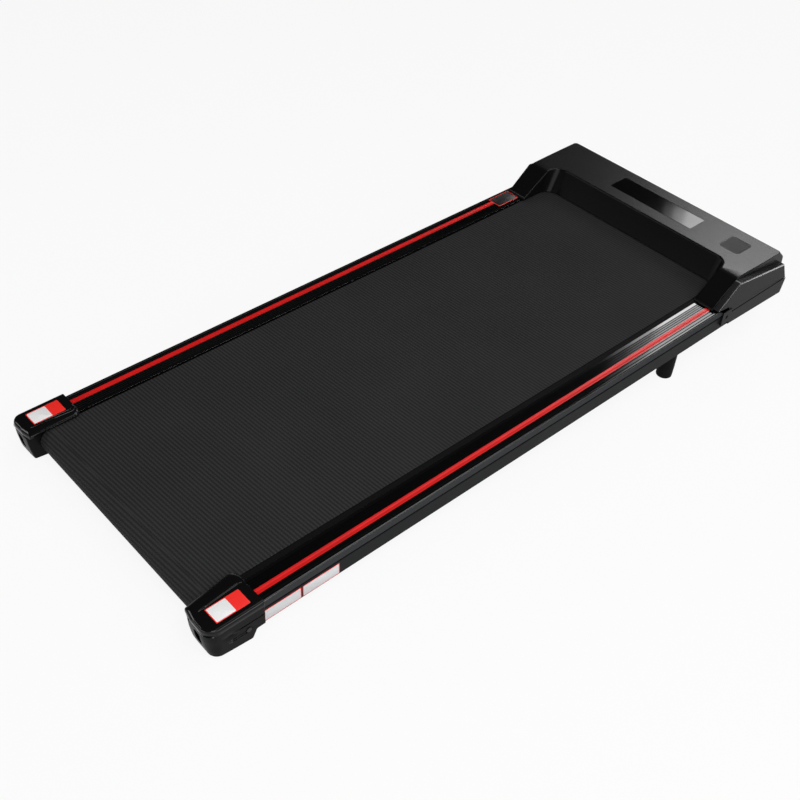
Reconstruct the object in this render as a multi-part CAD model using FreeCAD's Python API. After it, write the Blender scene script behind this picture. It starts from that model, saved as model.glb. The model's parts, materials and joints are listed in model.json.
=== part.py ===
import FreeCAD, Part
import math
import os

# Walking pad. Millimetres. The deck is drawn level: X runs from the tip of the rear caps to the hood,
# Y to the left, and Z is zero on the tops of the foot rails. At the end the whole assembly is stood on
# its feet, which raises the front a little, with the origin on the floor under the middle.

# Driving dimensions of the whole pad
overall_length = 1236.0
deck_width = 500.0
cap_length = 91.0
hood_length = 205.0
overrun = 5.0
seat_gap = 0.3
running_gap = 0.3
running_fit = 0.05

# Walking belt and rollers
belt_margin = 102.0
belt_offset = 4.5
belt_drop = 2.0
belt_thickness = 1.6
roller_radius = 19.0
roller_wall = 2.0
roller_end_gap = 0.7
rear_roller_inset = 44.0
front_roller_inset = 114.0
axle_radius = 6.0
bearing_width = 12.0
bearing_inset = 3.0
tension_travel = 8.0

# Frame
member_width = 30.0
member_height = 25.0
member_wall = 2.0
member_inset = 1.0
member_drop = 17.0
member_cap_tuck = 31.0
member_front_inset = 44.0
cross_width = 30.0
cross_wall = 1.5
cross_floor_gap = 2.3
cross_shares = (0.08, 0.36, 0.64, 0.92)

# Deck board on its cushions
board_side_inset = 34.0
board_thickness = 15.0
board_rear_gap = 15.0
board_front_gap = 1.5
cushion_radius = 8.0
cushion_height = 5.0
deck_screw_radius = 2.2
deck_screw_head = 4.2
deck_screw_head_height = 2.4
deck_screw_inset = 7.0
deck_screw_bite = 7.0

# Rear axle bracket and tension bolt
bracket_thickness = 4.0
bracket_offset = 2.5
bracket_top_drop = 10.0
bracket_bottom_drop = 36.0
bracket_rear_gap = 14.0
bracket_tongue = 50.0
bracket_flange_width = 12.0
axle_end_gap = 8.0
bolt_radius = 3.0
bolt_head_radius = 5.0
bolt_head_height = 5.0
bolt_socket_radius = 2.5
bolt_socket_depth = 3.0
bolt_length = 48.0

# Front axle plates
plate_thickness = 4.0
plate_length = 84.0
plate_top_drop = 10.0
plate_screw_radius = 2.5
plate_screw_head = 3.8
plate_screw_head_height = 1.2
plate_screw_inset = 8.0
plate_screw_drop = 35.5

# Motor drive on the left
tray_thickness = 2.0
tray_drop = 36.0
tray_rear_gap = 7.0
tray_front_inset = 26.0
tray_side_gap = 10.0
tray_wing_length = 18.0
tray_wing_gap = 1.0
motor_radius = 31.0
motor_inset = 52.0
motor_z = 2.0
motor_length = 122.0
motor_pulley_gap = 13.0
motor_boss_radius = 14.0
motor_boss_height = 3.0
shaft_radius = 4.0
cradle_length = 50.0
cradle_inset = 14.0
cradle_top = -18.0
strap_width = 15.0
strap_thickness = 1.5
strap_foot = 12.0
strap_bolt_inset = 4.0
strap_bolt_radius = 2.0
strap_bolt_head = 3.2
strap_bolt_head_height = 2.5
strap_bolt_length = 14.0
fan_radius = 27.0
fan_thickness = 8.0
fan_gap = 2.0
fan_hub_radius = 8.0
fan_blade_thickness = 2.0
fan_blades = 9
pulley_width = 9.0
drive_pulley_radius = 18.5
motor_pulley_radius = 7.5
pulley_bore = 8.0
drive_belt_thickness = 2.5
drive_belt_width = 8.0

# Controller on the right
controller_length = 52.0
controller_width = 138.0
controller_side_gap = 4.0
circuit_thickness = 1.6
standoff_height = 8.0
standoff_radius = 3.0
standoff_inset = 5.0
sink_length = 22.0
sink_width = 62.0
sink_height = 24.0
sink_base = 4.0
sink_fin = 2.0
sink_fins = 7
capacitor_radius = 9.0
capacitor_height = 28.0
capacitor_pitch = 21.0
capacitor_count = 3
capacitor_inset = 14.0
controller_margin = 6.0

# Hood
hood_side_inset = 10.0
hood_wall = 3.0
hood_height = 42.5
hood_slope_length = 55.0
hood_top_end_inset = 22.0
hood_brow_drop = 16.0
hood_brow_inset = 5.0
hood_split = 15.0
arm_width = 40.0
bay_top_inset = 118.0
bay_rake = 20.0
bay_radius = 25.0
boss_radius = 4.0
boss_height = 22.0
boss_inset = 10.0
boss_side_inset = 81.6
boss_inner_share = 3 / 11
hood_screw_radius = 2.0
hood_screw_head = 3.6
hood_screw_head_height = 2.0

# Hood side covers, belly pan and side clips
cover_proud = 2.0
cover_wall = 2.5
cover_peak_offset = 46.0
cover_rear_height = 21.0
cover_rear_inset = 18.0
cover_foot_height = 2.0
pan_depth = 45.0
pan_rear_depth = 39.5
pan_wall = 2.5
pan_chamfer = 6.0
rail_tuck_front = 30.0
clip_length = 24.0
clip_height = 27.0
clip_top = -5.0
clip_proud = 1.5
clip_hole = 6.0
clip_hole_depth = 2.0

# Display and speaker in the hood's top
lens_length = 44.0
lens_width = 185.0
lens_offset = -1.5
lens_inset = 47.0
lens_thickness = 1.5
lens_ledge = 3.0
grille_width = 41.0
grille_side_inset = 42.5
grille_radius = 7.0
grille_hole = 2.6
grille_pitch = 3.8
grille_holes = 9
speaker_radius = 18.0
speaker_flange = 2.0
speaker_depth = 7.0
speaker_magnet = 9.0
speaker_magnet_height = 6.0

# Mains inlet and power switch in the front wall of the belly pan
inlet_side_inset = 112.0
inlet_z = -29.5
inlet_width = 30.0
inlet_height = 22.0
inlet_depth = 22.0
inlet_face = 1.5
inlet_rim = 2.0
inlet_cavity_depth = 16.0
inlet_wall = 3.0
pin_width = 2.0
pin_height = 5.0
pin_length = 12.0
pin_pitch = 7.0
pin_rise = 2.0
switch_pitch = 45.0
switch_width = 26.0
switch_height = 19.0
switch_depth = 18.0
switch_wall = 2.6
rocker_half_length = 9.0
rocker_depth = 8.0
rocker_dish = 1.2
rocker_pivot_depth = 5.0
rocker_pivot_radius = 1.5
rocker_tilt = 10.0
rocker_side_gap = 0.4

# Foot rails
rail_width = 44.0
rail_plate = 2.5
rail_skirt = 15.0
rail_skirt_wall = 2.4
rail_leg = 3.0
rail_leg_inset = 5.0
rail_member_leg_inset = 17.0
rail_tuck_rear = 25.0
rib_width = 1.6
rib_depth = 0.5
rib_pitch = 4.0
ribs_each_side = 4
stripe_width = 8.0
stripe_inset = 14.5
stripe_thickness = 0.4

# Rear caps
cap_proud = 4.0
cap_lip_inset = 55.0
cap_height = 6.0
cap_depth = 52.0
cap_bottom_wall = 3.0
cap_rear_wall = 4.0
cap_return = 8.0
cap_cheek = 3.0
cap_cheek_gap = 1.5
cap_cheek_end_gap = 4.0
cap_lip_gap = 2.5
cap_rear_radius = 26.0
cap_inner_radius = 6.0
cap_edge_radius = 3.5
cap_step_length = 15.0
cap_step_slope = 8.0
cap_step_height = 8.0
cap_panel_inset = 34.0
cap_panel_margin = 5.0
cap_panel_depth = 1.2
cap_panel_radius = 4.0
key_slot_width = 11.0
key_slot_top = -8.0
key_slot_height = 26.0
cap_screw_inset = 26.0
cap_screw_z = -31.5
cap_screw_radius = 2.0
cap_screw_head = 4.0
cap_screw_head_height = 2.0
cap_screw_length = 9.0

# Feet and pads
foot_hood_gap = 94.0
foot_radius = 14.0
foot_drop = 92.0
foot_stud_radius = 4.0
foot_stud_depth = 22.0
foot_nut_radius = 7.0
foot_nut_height = 5.0
pad_inset = 40.0
pad_radius = 12.0
pad_thickness = 3.0

# Transport wheels under the hood
wheel_inset = 31.0
wheel_z = -40.0
wheel_radius = 17.0
wheel_width = 16.0
wheel_side_inset = 46.0
wheel_edge = 2.0
wheel_pin_radius = 3.0
wheel_side_gap = 0.6
ear_thickness = 3.0
ear_length = 18.0
ear_height = 16.0
well_gap = 3.0

# Worked-out places
half_deck = deck_width / 2
belt_width = deck_width - belt_margin
belt_left = belt_width / 2 + belt_offset
belt_right = belt_width / 2 - belt_offset
loop_radius = roller_radius + running_gap + belt_thickness
roller_z = -belt_drop - loop_radius
rear_roller_x = rear_roller_inset
front_roller_x = overall_length - front_roller_inset
member_outer = half_deck - member_inset
member_inner = member_outer - member_width
member_top = -member_drop
member_bottom = member_top - member_height
member_rear = cap_length - member_cap_tuck
member_front = overall_length - member_front_inset
belt_under = -belt_drop - belt_thickness
board_half_width = half_deck - board_side_inset
board_top = belt_under - running_gap
board_bottom = board_top - board_thickness
board_rear = rear_roller_x + roller_radius + tension_travel + board_rear_gap
board_front = front_roller_x - plate_length / 2 - board_front_gap
cross_top = board_bottom - cushion_height
cross_bottom = roller_z - roller_radius - running_gap + cross_floor_gap
cross_stations = [board_rear + s * (board_front - board_rear) for s in cross_shares]
deck_screw_y = board_half_width - deck_screw_inset
cheek_inner = belt_left + cap_cheek_gap
cap_half_width = half_deck + cap_proud
cap_lip_inner = half_deck - cap_lip_inset
cap_wall = cap_proud - seat_gap
cap_panel_inner = half_deck - cap_panel_inset
bracket_inner = member_inner + bracket_offset
bracket_outer = bracket_inner + bracket_thickness
bolt_y = bracket_outer + bracket_flange_width / 2
axle_half = bolt_y + axle_end_gap
hood_half_width = half_deck - hood_side_inset
bay_half_width = hood_half_width - arm_width
cover_half_width = half_deck + cover_proud
hood_foot = overall_length - hood_length
foot_x = hood_foot - foot_hood_gap
hood_top_start = hood_foot + hood_slope_length
hood_top_end = overall_length - hood_top_end_inset
hood_bottom = -hood_split
hood_ceiling = hood_height - hood_wall
rail_inner = half_deck - rail_width
rail_front = hood_foot + rail_tuck_front
rail_rear = cap_length - rail_tuck_rear
motor_x = overall_length - motor_inset
tray_half_width = bay_half_width - tray_side_gap
tray_top = -tray_drop
tray_rear = front_roller_x + loop_radius + tray_rear_gap
tray_front = overall_length - tray_front_inset
plate_inner = member_inner - plate_thickness
pulley_end = plate_inner - running_gap - roller_end_gap
pulley_start = pulley_end - pulley_width
motor_end = pulley_start - motor_pulley_gap
motor_start = motor_end - motor_length
cradle_start = motor_start + cradle_inset
cradle_end = motor_end - cradle_inset
controller_start = controller_side_gap - tray_half_width
controller_end = controller_start + controller_width
pan_bottom = -pan_depth
pan_floor = pan_bottom + pan_wall
clip_rear = rail_front - clip_length / 2
pan_rear = clip_rear + clip_length
lens_x = overall_length - lens_inset - lens_length
lens_start = lens_offset - lens_width / 2
lens_end = lens_offset + lens_width / 2
grille_start = grille_side_inset - hood_half_width
inlet_y = inlet_side_inset - cover_half_width
switch_y = inlet_y + switch_pitch
wheel_x = overall_length - wheel_inset
wheel_y = cover_half_width - wheel_side_inset
pad_floor = -cap_depth - pad_thickness
incline = math.degrees(math.atan2(foot_drop + pad_floor, foot_x - pad_inset))

X_AXIS = FreeCAD.Vector(1, 0, 0)
Y_AXIS = FreeCAD.Vector(0, 1, 0)
Z_AXIS = FreeCAD.Vector(0, 0, 1)
ORIGIN = FreeCAD.Vector(0, 0, 0)


def block(x, y, z):
    """A box given by its (low, high) pairs along X, Y and Z."""
    low = FreeCAD.Vector(x[0], y[0], z[0])
    return Part.makeBox(x[1] - x[0], y[1] - y[0], z[1] - z[0], low)


def rod_y(radius, x, z, y):
    """A round bar along Y between the pair y."""
    return Part.makeCylinder(radius, y[1] - y[0], FreeCAD.Vector(x, y[0], z), Y_AXIS)


def rod_z(radius, x, y, z):
    """A round bar along Z between the pair z."""
    return Part.makeCylinder(radius, z[1] - z[0], FreeCAD.Vector(x, y, z[0]), Z_AXIS)


def rod_x(radius, y, z, x):
    """A round bar along X between the pair x."""
    return Part.makeCylinder(radius, x[1] - x[0], FreeCAD.Vector(x[0], y, z), X_AXIS)


def slab_y(points, y):
    """A flat outline of (x, z) points, carried along Y between the pair y."""
    corners = [FreeCAD.Vector(px, y[0], pz) for px, pz in points]
    face = Part.Face(Part.makePolygon(corners + corners[:1]))
    return face.extrude(Y_AXIS * (y[1] - y[0]))


def slab_x(points, x):
    """A flat outline of (y, z) points, carried along X between the pair x."""
    corners = [FreeCAD.Vector(x[0], py, pz) for py, pz in points]
    face = Part.Face(Part.makePolygon(corners + corners[:1]))
    return face.extrude(X_AXIS * (x[1] - x[0]))


def slab_z(points, z):
    """A flat outline of (x, y) points, carried along Z between the pair z."""
    corners = [FreeCAD.Vector(px, py, z[0]) for px, py in points]
    face = Part.Face(Part.makePolygon(corners + corners[:1]))
    return face.extrude(Z_AXIS * (z[1] - z[0]))


def rounded_block(x, y, z, radius):
    """A box with its four upright edges rounded."""
    solid = block(x, y, z)
    upright = [e for e in solid.Edges if e.BoundBox.ZLength > (z[1] - z[0]) / 2]
    return solid.makeFillet(radius, upright)


def mirrored(shape):
    """The same piece on the other side of the pad."""
    return shape.mirror(ORIGIN, Y_AXIS)


def pair(shape):
    """Left and right copies of a piece."""
    return [shape, mirrored(shape)]


def belt_loop(first, first_radius, second, second_radius, thickness, y):
    """A flat belt round two circles with centres (x, z): open tangents, outer outline less the inner one."""
    span = math.hypot(second[0] - first[0], second[1] - first[1])
    heading = math.atan2(second[1] - first[1], second[0] - first[0])

    def outline(extra):
        lean = math.acos((first_radius - second_radius) / span)
        corners = []
        for centre, radius in ((first, first_radius + extra), (second, second_radius + extra)):
            for turn in (heading + lean, heading - lean):
                corners.append(FreeCAD.Vector(centre[0] + radius * math.cos(turn), y[0],
                                              centre[1] + radius * math.sin(turn)))
        back = FreeCAD.Vector(first[0] - (first_radius + extra) * math.cos(heading), y[0],
                              first[1] - (first_radius + extra) * math.sin(heading))
        nose = FreeCAD.Vector(second[0] + (second_radius + extra) * math.cos(heading), y[0],
                              second[1] + (second_radius + extra) * math.sin(heading))
        edges = [Part.Arc(corners[0], back, corners[1]).toShape(),
                 Part.LineSegment(corners[1], corners[3]).toShape(),
                 Part.Arc(corners[3], nose, corners[2]).toShape(),
                 Part.LineSegment(corners[2], corners[0]).toShape()]
        return Part.Face(Part.Wire(edges)).extrude(Y_AXIS * (y[1] - y[0]))

    return outline(thickness).cut(outline(0))


def tube_y(radius, bore, x, z, y):
    """A round tube along Y."""
    return rod_y(radius, x, z, y).cut(rod_y(bore, x, z, (y[0] - overrun, y[1] + overrun)))


# Frame

def side_member():
    """Left rectangular steel tube, with holes for the foot stud and the cap screw."""
    solid = block((member_rear, member_front), (member_inner, member_outer), (member_bottom, member_top))
    hollow = block((member_rear - overrun, member_front + overrun),
                   (member_inner + member_wall, member_outer - member_wall),
                   (member_bottom + member_wall, member_top - member_wall))
    stud = rod_z(foot_stud_radius + running_fit, foot_x, foot_y(),
                 (member_bottom - overrun, member_bottom + overrun))
    screw = rod_y(cap_screw_radius + running_fit, cap_length - cap_screw_inset, cap_screw_z,
                  (member_outer - overrun, member_outer + overrun))
    tube = solid.cut(hollow).cut(stud).cut(screw)
    for x in plate_screw_places():
        tube = tube.cut(rod_y(plate_screw_radius + running_fit, x, -plate_screw_drop,
                              (member_inner - overrun, member_inner + overrun)))
    return tube


def foot_y():
    return (member_inner + member_outer) / 2


def plate_screw_places():
    reach = plate_length / 2 - plate_screw_inset
    return (front_roller_x - reach, front_roller_x + reach)


def cross_member(x):
    """A flat rectangular tube between the side members, inside the belt's loop."""
    half = cross_width / 2
    solid = block((x - half, x + half), (-member_inner, member_inner), (cross_bottom, cross_top))
    hollow = block((x - half + cross_wall, x + half - cross_wall),
                   (-member_inner - overrun, member_inner + overrun),
                   (cross_bottom + cross_wall, cross_top - cross_wall))
    tube = solid.cut(hollow)
    for y in (-deck_screw_y, deck_screw_y):
        tube = tube.cut(rod_z(deck_screw_radius + running_fit, x, y,
                              (cross_top - overrun, cross_top + overrun)))
    return tube


def axle_bracket():
    """Left plate whose tongue sits in the side member, with the axle's slot and a flange for the bolt."""
    tongue_bottom = member_bottom + member_wall + seat_gap
    tongue_top = member_top - member_wall - seat_gap
    outline = [(bracket_rear_gap, -bracket_bottom_drop), (member_rear - seat_gap, -bracket_bottom_drop),
               (member_rear - seat_gap, tongue_bottom), (member_rear + bracket_tongue, tongue_bottom),
               (member_rear + bracket_tongue, tongue_top), (member_rear - seat_gap, tongue_top),
               (member_rear - seat_gap, -bracket_top_drop), (bracket_rear_gap, -bracket_top_drop)]
    plate = slab_y(outline, (bracket_inner, bracket_outer))
    flange = block((bracket_rear_gap, bracket_rear_gap + bracket_thickness),
                   (bracket_outer, bracket_outer + bracket_flange_width),
                   (-bracket_bottom_drop, -bracket_top_drop))
    slot_radius = axle_radius + running_fit
    slot_end = rear_roller_x + tension_travel + running_gap
    wide = (bracket_inner - overrun, bracket_outer + overrun)
    slot = block((rear_roller_x, slot_end), wide, (roller_z - slot_radius, roller_z + slot_radius))
    for x in (rear_roller_x, slot_end):
        slot = slot.fuse(rod_y(slot_radius, x, roller_z, wide))
    hole = rod_x(bolt_radius + running_fit, bolt_y, roller_z,
                 (bracket_rear_gap - overrun, bracket_rear_gap + bracket_thickness + overrun))
    return plate.fuse(flange).cut(slot).cut(hole).removeSplitter()


def motor_tray():
    """Steel tray across the frame, with wings that reach the side members."""
    level = (tray_top - tray_thickness, tray_top)
    wing = front_roller_x + plate_length / 2 + tray_wing_gap
    tray = block((tray_rear, tray_front), (-tray_half_width, tray_half_width), level)
    return tray.fuse(block((wing, wing + tray_wing_length), (-member_inner, member_inner),
                           level)).removeSplitter()


def front_axle_plate():
    """Left plate on the inside of the side member that carries the end of the front axle."""
    reach = plate_length / 2
    plate = block((front_roller_x - reach, front_roller_x + reach), (plate_inner, member_inner),
                  (member_bottom, -plate_top_drop))
    plate = plate.cut(rod_y(axle_radius + running_fit, front_roller_x, roller_z,
                            (plate_inner - overrun, member_inner + overrun)))
    for x in plate_screw_places():
        plate = plate.cut(rod_y(plate_screw_radius + running_fit, x, -plate_screw_drop,
                                (plate_inner - overrun, member_inner + overrun)))
    return plate


def front_axle_plate_screws():
    """Button-head screws of the left axle plate."""
    screws = []
    for x in plate_screw_places():
        head = rod_y(plate_screw_head, x, -plate_screw_drop,
                     (plate_inner - plate_screw_head_height, plate_inner))
        shank = rod_y(plate_screw_radius, x, -plate_screw_drop, (plate_inner, member_inner + member_wall))
        screws.append(head.fuse(shank))
    return screws


# Deck

def deck_board():
    """Pressed-wood board that the belt slides on, with countersunk screw holes along its edges."""
    board = block((board_rear, board_front), (-board_half_width, board_half_width),
                  (board_bottom, board_top))
    for x in cross_stations:
        for y in (-deck_screw_y, deck_screw_y):
            board = board.cut(deck_screw(x, y, running_fit))
    return board


def deck_screw(x, y, grow):
    """Flat-head screw through board and cushion into the cross member; grow makes its hole."""
    head = rod_z(deck_screw_head + grow, x, y, (board_top - deck_screw_head_height - grow, board_top))
    shank = rod_z(deck_screw_radius + grow, x, y, (cross_top - deck_screw_bite, board_top))
    return head.fuse(shank)


def deck_cushion(x, y):
    """Rubber ring between the board and a cross member."""
    ring = rod_z(cushion_radius, x, y, (cross_top, board_bottom))
    return ring.cut(rod_z(deck_screw_radius + seat_gap, x, y,
                          (cross_top - overrun, board_bottom + overrun)))


# Rollers and belt

def roller_tube(x, y):
    return tube_y(roller_radius, roller_radius - roller_wall, x, roller_z, y)


def roller_bearings(x, y):
    """A bearing just inside each end of a roller tube."""
    outer = roller_radius - roller_wall - running_fit
    near = (y[0] + bearing_inset, y[0] + bearing_inset + bearing_width)
    far = (y[1] - bearing_inset - bearing_width, y[1] - bearing_inset)
    return [tube_y(outer, axle_radius + running_fit, x, roller_z, span) for span in (near, far)]


def walking_belt():
    """Endless belt over both rollers, a little nearer to the left rail."""
    inner = roller_radius + running_gap
    return belt_loop((rear_roller_x, roller_z), inner, (front_roller_x, roller_z), inner, belt_thickness,
                     (-belt_right, belt_left))


def rear_axle():
    """Sliding axle with a cross hole for the tension bolt near each end."""
    axle = rod_y(axle_radius, rear_roller_x, roller_z, (-axle_half, axle_half))
    for y in (-bolt_y, bolt_y):
        axle = axle.cut(rod_x(bolt_radius + running_fit, y, roller_z,
                              (rear_roller_x - axle_radius - overrun,
                               rear_roller_x + axle_radius + overrun)))
    return axle


def tension_bolt():
    """Left socket-head bolt whose head bears on the bracket's flange."""
    head_end = bracket_rear_gap
    head_start = head_end - bolt_head_height
    head = rod_x(bolt_head_radius, bolt_y, roller_z, (head_start, head_end))
    socket = rod_x(bolt_socket_radius, bolt_y, roller_z,
                   (head_start - overrun, head_start + bolt_socket_depth))
    shank = rod_x(bolt_radius, bolt_y, roller_z, (head_end, head_end + bolt_length))
    return head.cut(socket).fuse(shank)


def front_roller_span():
    return (-pulley_start, pulley_start)


def rear_roller_span():
    reach = cheek_inner - roller_end_gap
    return (-reach, reach)


def front_axle():
    return rod_y(axle_radius, front_roller_x, roller_z, (-member_inner, member_inner))


def drive_pulley():
    """Pulley on the left end of the front roller."""
    return tube_y(drive_pulley_radius, pulley_bore, front_roller_x, roller_z, (pulley_start, pulley_end))


# Motor drive

def motor_body():
    """Round motor with a boss at each end, bored for its shaft."""
    body = rod_y(motor_radius, motor_x, motor_z, (motor_start, motor_end))
    body = body.fuse(rod_y(motor_boss_radius, motor_x, motor_z, (motor_end, motor_end + motor_boss_height)))
    return body.cut(rod_y(shaft_radius + running_fit, motor_x, motor_z,
                          (motor_start - overrun, motor_end + motor_boss_height + overrun)))


def motor_cradle():
    """Block on the tray with a round seat for the motor and holes for the strap bolts."""
    half = cradle_length / 2
    cradle = block((motor_x - half - strap_foot, motor_x + half), (cradle_start, cradle_end),
                   (tray_top, cradle_top))
    cradle = cradle.cut(rod_y(motor_radius + running_fit, motor_x, motor_z,
                              (cradle_start - overrun, cradle_end + overrun)))
    for bolt in strap_bolts(running_fit):
        cradle = cradle.cut(bolt)
    return cradle


def strap_places():
    reach = strap_width / 2 + strap_thickness
    return (cradle_start + reach, cradle_end - reach)


def strap_foot_x():
    return motor_x - cradle_length / 2 - strap_foot + strap_bolt_inset


def motor_strap(y):
    """Steel band over the motor, with a foot on the cradle."""
    width = (y - strap_width / 2, y + strap_width / 2)
    ring = tube_y(motor_radius + running_fit + strap_thickness, motor_radius + running_fit, motor_x,
                  motor_z, width)
    reach = motor_radius + strap_thickness + overrun
    upper = block((motor_x - reach, motor_x + reach), (width[0] - overrun, width[1] + overrun),
                  (cradle_top, motor_z + reach))
    band = ring.common(upper)
    drop = motor_z - cradle_top - strap_thickness / 2
    edge = motor_x - math.sqrt((motor_radius + running_fit + strap_thickness / 2) ** 2 - drop ** 2)
    foot = block((motor_x - cradle_length / 2 - strap_foot, edge), width,
                 (cradle_top, cradle_top + strap_thickness))
    hole = rod_z(strap_bolt_radius + running_fit, strap_foot_x(), y,
                 (cradle_top - overrun, cradle_top + overrun))
    return band.fuse(foot).cut(hole).removeSplitter()


def strap_bolts(grow):
    """Bolts through the strap feet into the cradle; grow makes their holes."""
    bolts = []
    seat = cradle_top + strap_thickness
    for y in strap_places():
        shank = rod_z(strap_bolt_radius + grow, strap_foot_x(), y, (seat - strap_bolt_length, seat))
        head = rod_z(strap_bolt_head, strap_foot_x(), y, (seat, seat + strap_bolt_head_height))
        bolts.append(shank.fuse(head))
    return bolts


def motor_shaft():
    return rod_y(shaft_radius, motor_x, motor_z, (motor_start - fan_gap - fan_thickness, pulley_end))


def motor_pulley():
    return tube_y(motor_pulley_radius, shaft_radius + running_fit, motor_x, motor_z,
                  (pulley_start, pulley_end))


def motor_fan():
    """Hub, thin disc and a ring of straight blades on the shaft's inner end."""
    width = (motor_start - fan_gap - fan_thickness, motor_start - fan_gap)
    disc_start = width[1] - fan_blade_thickness
    fan = rod_y(fan_hub_radius, motor_x, motor_z, width)
    fan = fan.fuse(rod_y(fan_radius, motor_x, motor_z, (disc_start, width[1])))
    half = fan_blade_thickness / 2
    for i in range(fan_blades):
        blade = block((motor_x, motor_x + fan_radius - half), width, (motor_z - half, motor_z + half))
        blade.rotate(FreeCAD.Vector(motor_x, 0, motor_z), Y_AXIS, i * 360 / fan_blades)
        fan = fan.fuse(blade)
    return fan.cut(rod_y(shaft_radius + running_fit, motor_x, motor_z,
                         (width[0] - overrun, width[1] + overrun))).removeSplitter()


def drive_belt():
    """Ribbed belt from the motor pulley to the roller's pulley."""
    middle = (pulley_start + pulley_end) / 2
    half = drive_belt_width / 2
    return belt_loop((front_roller_x, roller_z), drive_pulley_radius + running_gap,
                     (motor_x, motor_z), motor_pulley_radius + running_gap,
                     drive_belt_thickness, (middle - half, middle + half))


# Controller

def controller_x():
    rear = tray_rear + seat_gap
    return (rear, rear + controller_length)


def board_level():
    return tray_top + standoff_height


def controller_board():
    return block(controller_x(), (controller_start, controller_end),
                 (board_level(), board_level() + circuit_thickness))


def board_standoffs():
    x = controller_x()
    return [rod_z(standoff_radius, px, py, (tray_top, board_level()))
            for px in (x[0] + standoff_inset, x[1] - standoff_inset)
            for py in (controller_start + standoff_inset, controller_end - standoff_inset)]


def controller_heatsink():
    """Finned block on the board's front edge."""
    x = controller_x()
    length = (x[1] - controller_margin - sink_length, x[1] - controller_margin)
    width = (controller_start + controller_margin, controller_start + controller_margin + sink_width)
    low = board_level() + circuit_thickness
    sink = block(length, width, (low, low + sink_base))
    step = (sink_width - sink_fin) / (sink_fins - 1)
    for i in range(sink_fins):
        start = width[0] + i * step
        sink = sink.fuse(block(length, (start, start + sink_fin), (low, low + sink_height)))
    return sink.removeSplitter()


def controller_capacitors():
    low = board_level() + circuit_thickness
    x = controller_x()[0] + capacitor_inset
    last = controller_end - capacitor_inset
    return [rod_z(capacitor_radius, x, last - i * capacitor_pitch, (low, low + capacitor_height))
            for i in range(capacitor_count)]


# Hood

def bay(grow):
    """The toe bay above the belt: round-cornered plan, its front wall leaning back as it rises."""
    def plan(z):
        rise = (z - seat_gap) / (hood_height - seat_gap)
        wall = overall_length - bay_top_inset - bay_rake * (1 - rise) + grow
        rear = hood_foot - overrun
        half = bay_half_width + grow
        round_r = bay_radius + grow
        bend = round_r * (1 - math.sqrt(0.5))
        a = FreeCAD.Vector(rear, -half, z)
        b = FreeCAD.Vector(wall - round_r, -half, z)
        c = FreeCAD.Vector(wall, -half + round_r, z)
        mid = FreeCAD.Vector(wall - bend, -half + bend, z)
        a2, b2, mid2, c2 = [FreeCAD.Vector(p.x, -p.y, p.z) for p in (a, b, mid, c)]
        curves = [Part.LineSegment(a, b), Part.Arc(b, mid, c), Part.LineSegment(c, c2),
                  Part.Arc(c2, mid2, b2), Part.LineSegment(b2, a2), Part.LineSegment(a2, a)]
        return Part.Wire([curve.toShape() for curve in curves])

    return Part.makeLoft([plan(hood_bottom - overrun), plan(hood_height + overrun)], True, True)


def hood_outline(wall):
    """Side outline of the hood, moved in by a wall; its underside is open when there is a wall."""
    rise = hood_height - seat_gap
    lean = math.atan2(rise, hood_slope_length)
    inset = wall / math.sin(lean)
    top = hood_height - wall
    base = hood_bottom - overrun if wall else hood_bottom
    foot = base if wall else seat_gap
    slope_foot = hood_foot + inset + (foot - seat_gap) / math.tan(lean)
    slope_top = hood_foot + inset + (top - seat_gap) / math.tan(lean)
    points = [(slope_foot, foot), (slope_top, top), (hood_top_end - wall, top),
              (overall_length - hood_brow_inset - wall, top - hood_brow_drop),
              (overall_length - wall, base)]
    if not wall:
        points += [(rail_front + seat_gap, base), (rail_front + seat_gap, seat_gap)]
    return points


def hood_boss_places():
    x = overall_length - boss_inset
    outer = hood_half_width - boss_side_inset
    inner = outer * boss_inner_share
    return [(x, y) for y in (-outer, -inner, inner, outer)]


def hood_cover():
    """Moulded top cover: a shell round the motor bay, with two arms that slope down onto the rails."""
    outer = slab_y(hood_outline(0), (-hood_half_width, hood_half_width)).cut(bay(0))
    inner = slab_y(hood_outline(hood_wall), (-hood_half_width + hood_wall, hood_half_width - hood_wall))
    shell = outer.cut(inner.cut(bay(hood_wall)))
    belt_way = block((hood_foot - overrun, front_roller_x + loop_radius + overrun),
                     (-hood_half_width + hood_wall, hood_half_width - hood_wall),
                     (hood_bottom - overrun, seat_gap))
    shell = shell.cut(belt_way)
    for x, y in hood_boss_places():
        boss = rod_z(boss_radius, x, y, (hood_bottom, hood_bottom + boss_height))
        shell = shell.fuse(boss.common(slab_y(hood_outline(0), (-hood_half_width, hood_half_width))))
        shell = shell.cut(rod_z(hood_screw_radius + running_fit, x, y,
                                (hood_bottom - overrun, hood_bottom + boss_height / 2)))
    through = block((lens_x + lens_ledge, lens_x + lens_length - lens_ledge),
                    (lens_start + lens_ledge, lens_end - lens_ledge),
                    (hood_ceiling - overrun, hood_height + overrun))
    shell = shell.cut(through).cut(lens_pocket(seat_gap))
    hole_x = grille_x()
    hole_y = (grille_start + lens_ledge, grille_start + grille_width - lens_ledge)
    sound = block((hole_x[0] + lens_ledge, hole_x[1] - lens_ledge), hole_y,
                  (hood_ceiling - overrun, hood_height + overrun))
    return shell.cut(sound).cut(grille_pocket(seat_gap)).removeSplitter()


def lens_pocket(grow):
    """The lens, flush with the hood's top; grow makes its pocket."""
    return block((lens_x - grow, lens_x + lens_length + grow), (lens_start - grow, lens_end + grow),
                 (hood_height - lens_thickness, hood_height + grow))


def display_lens():
    return lens_pocket(0)


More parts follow.
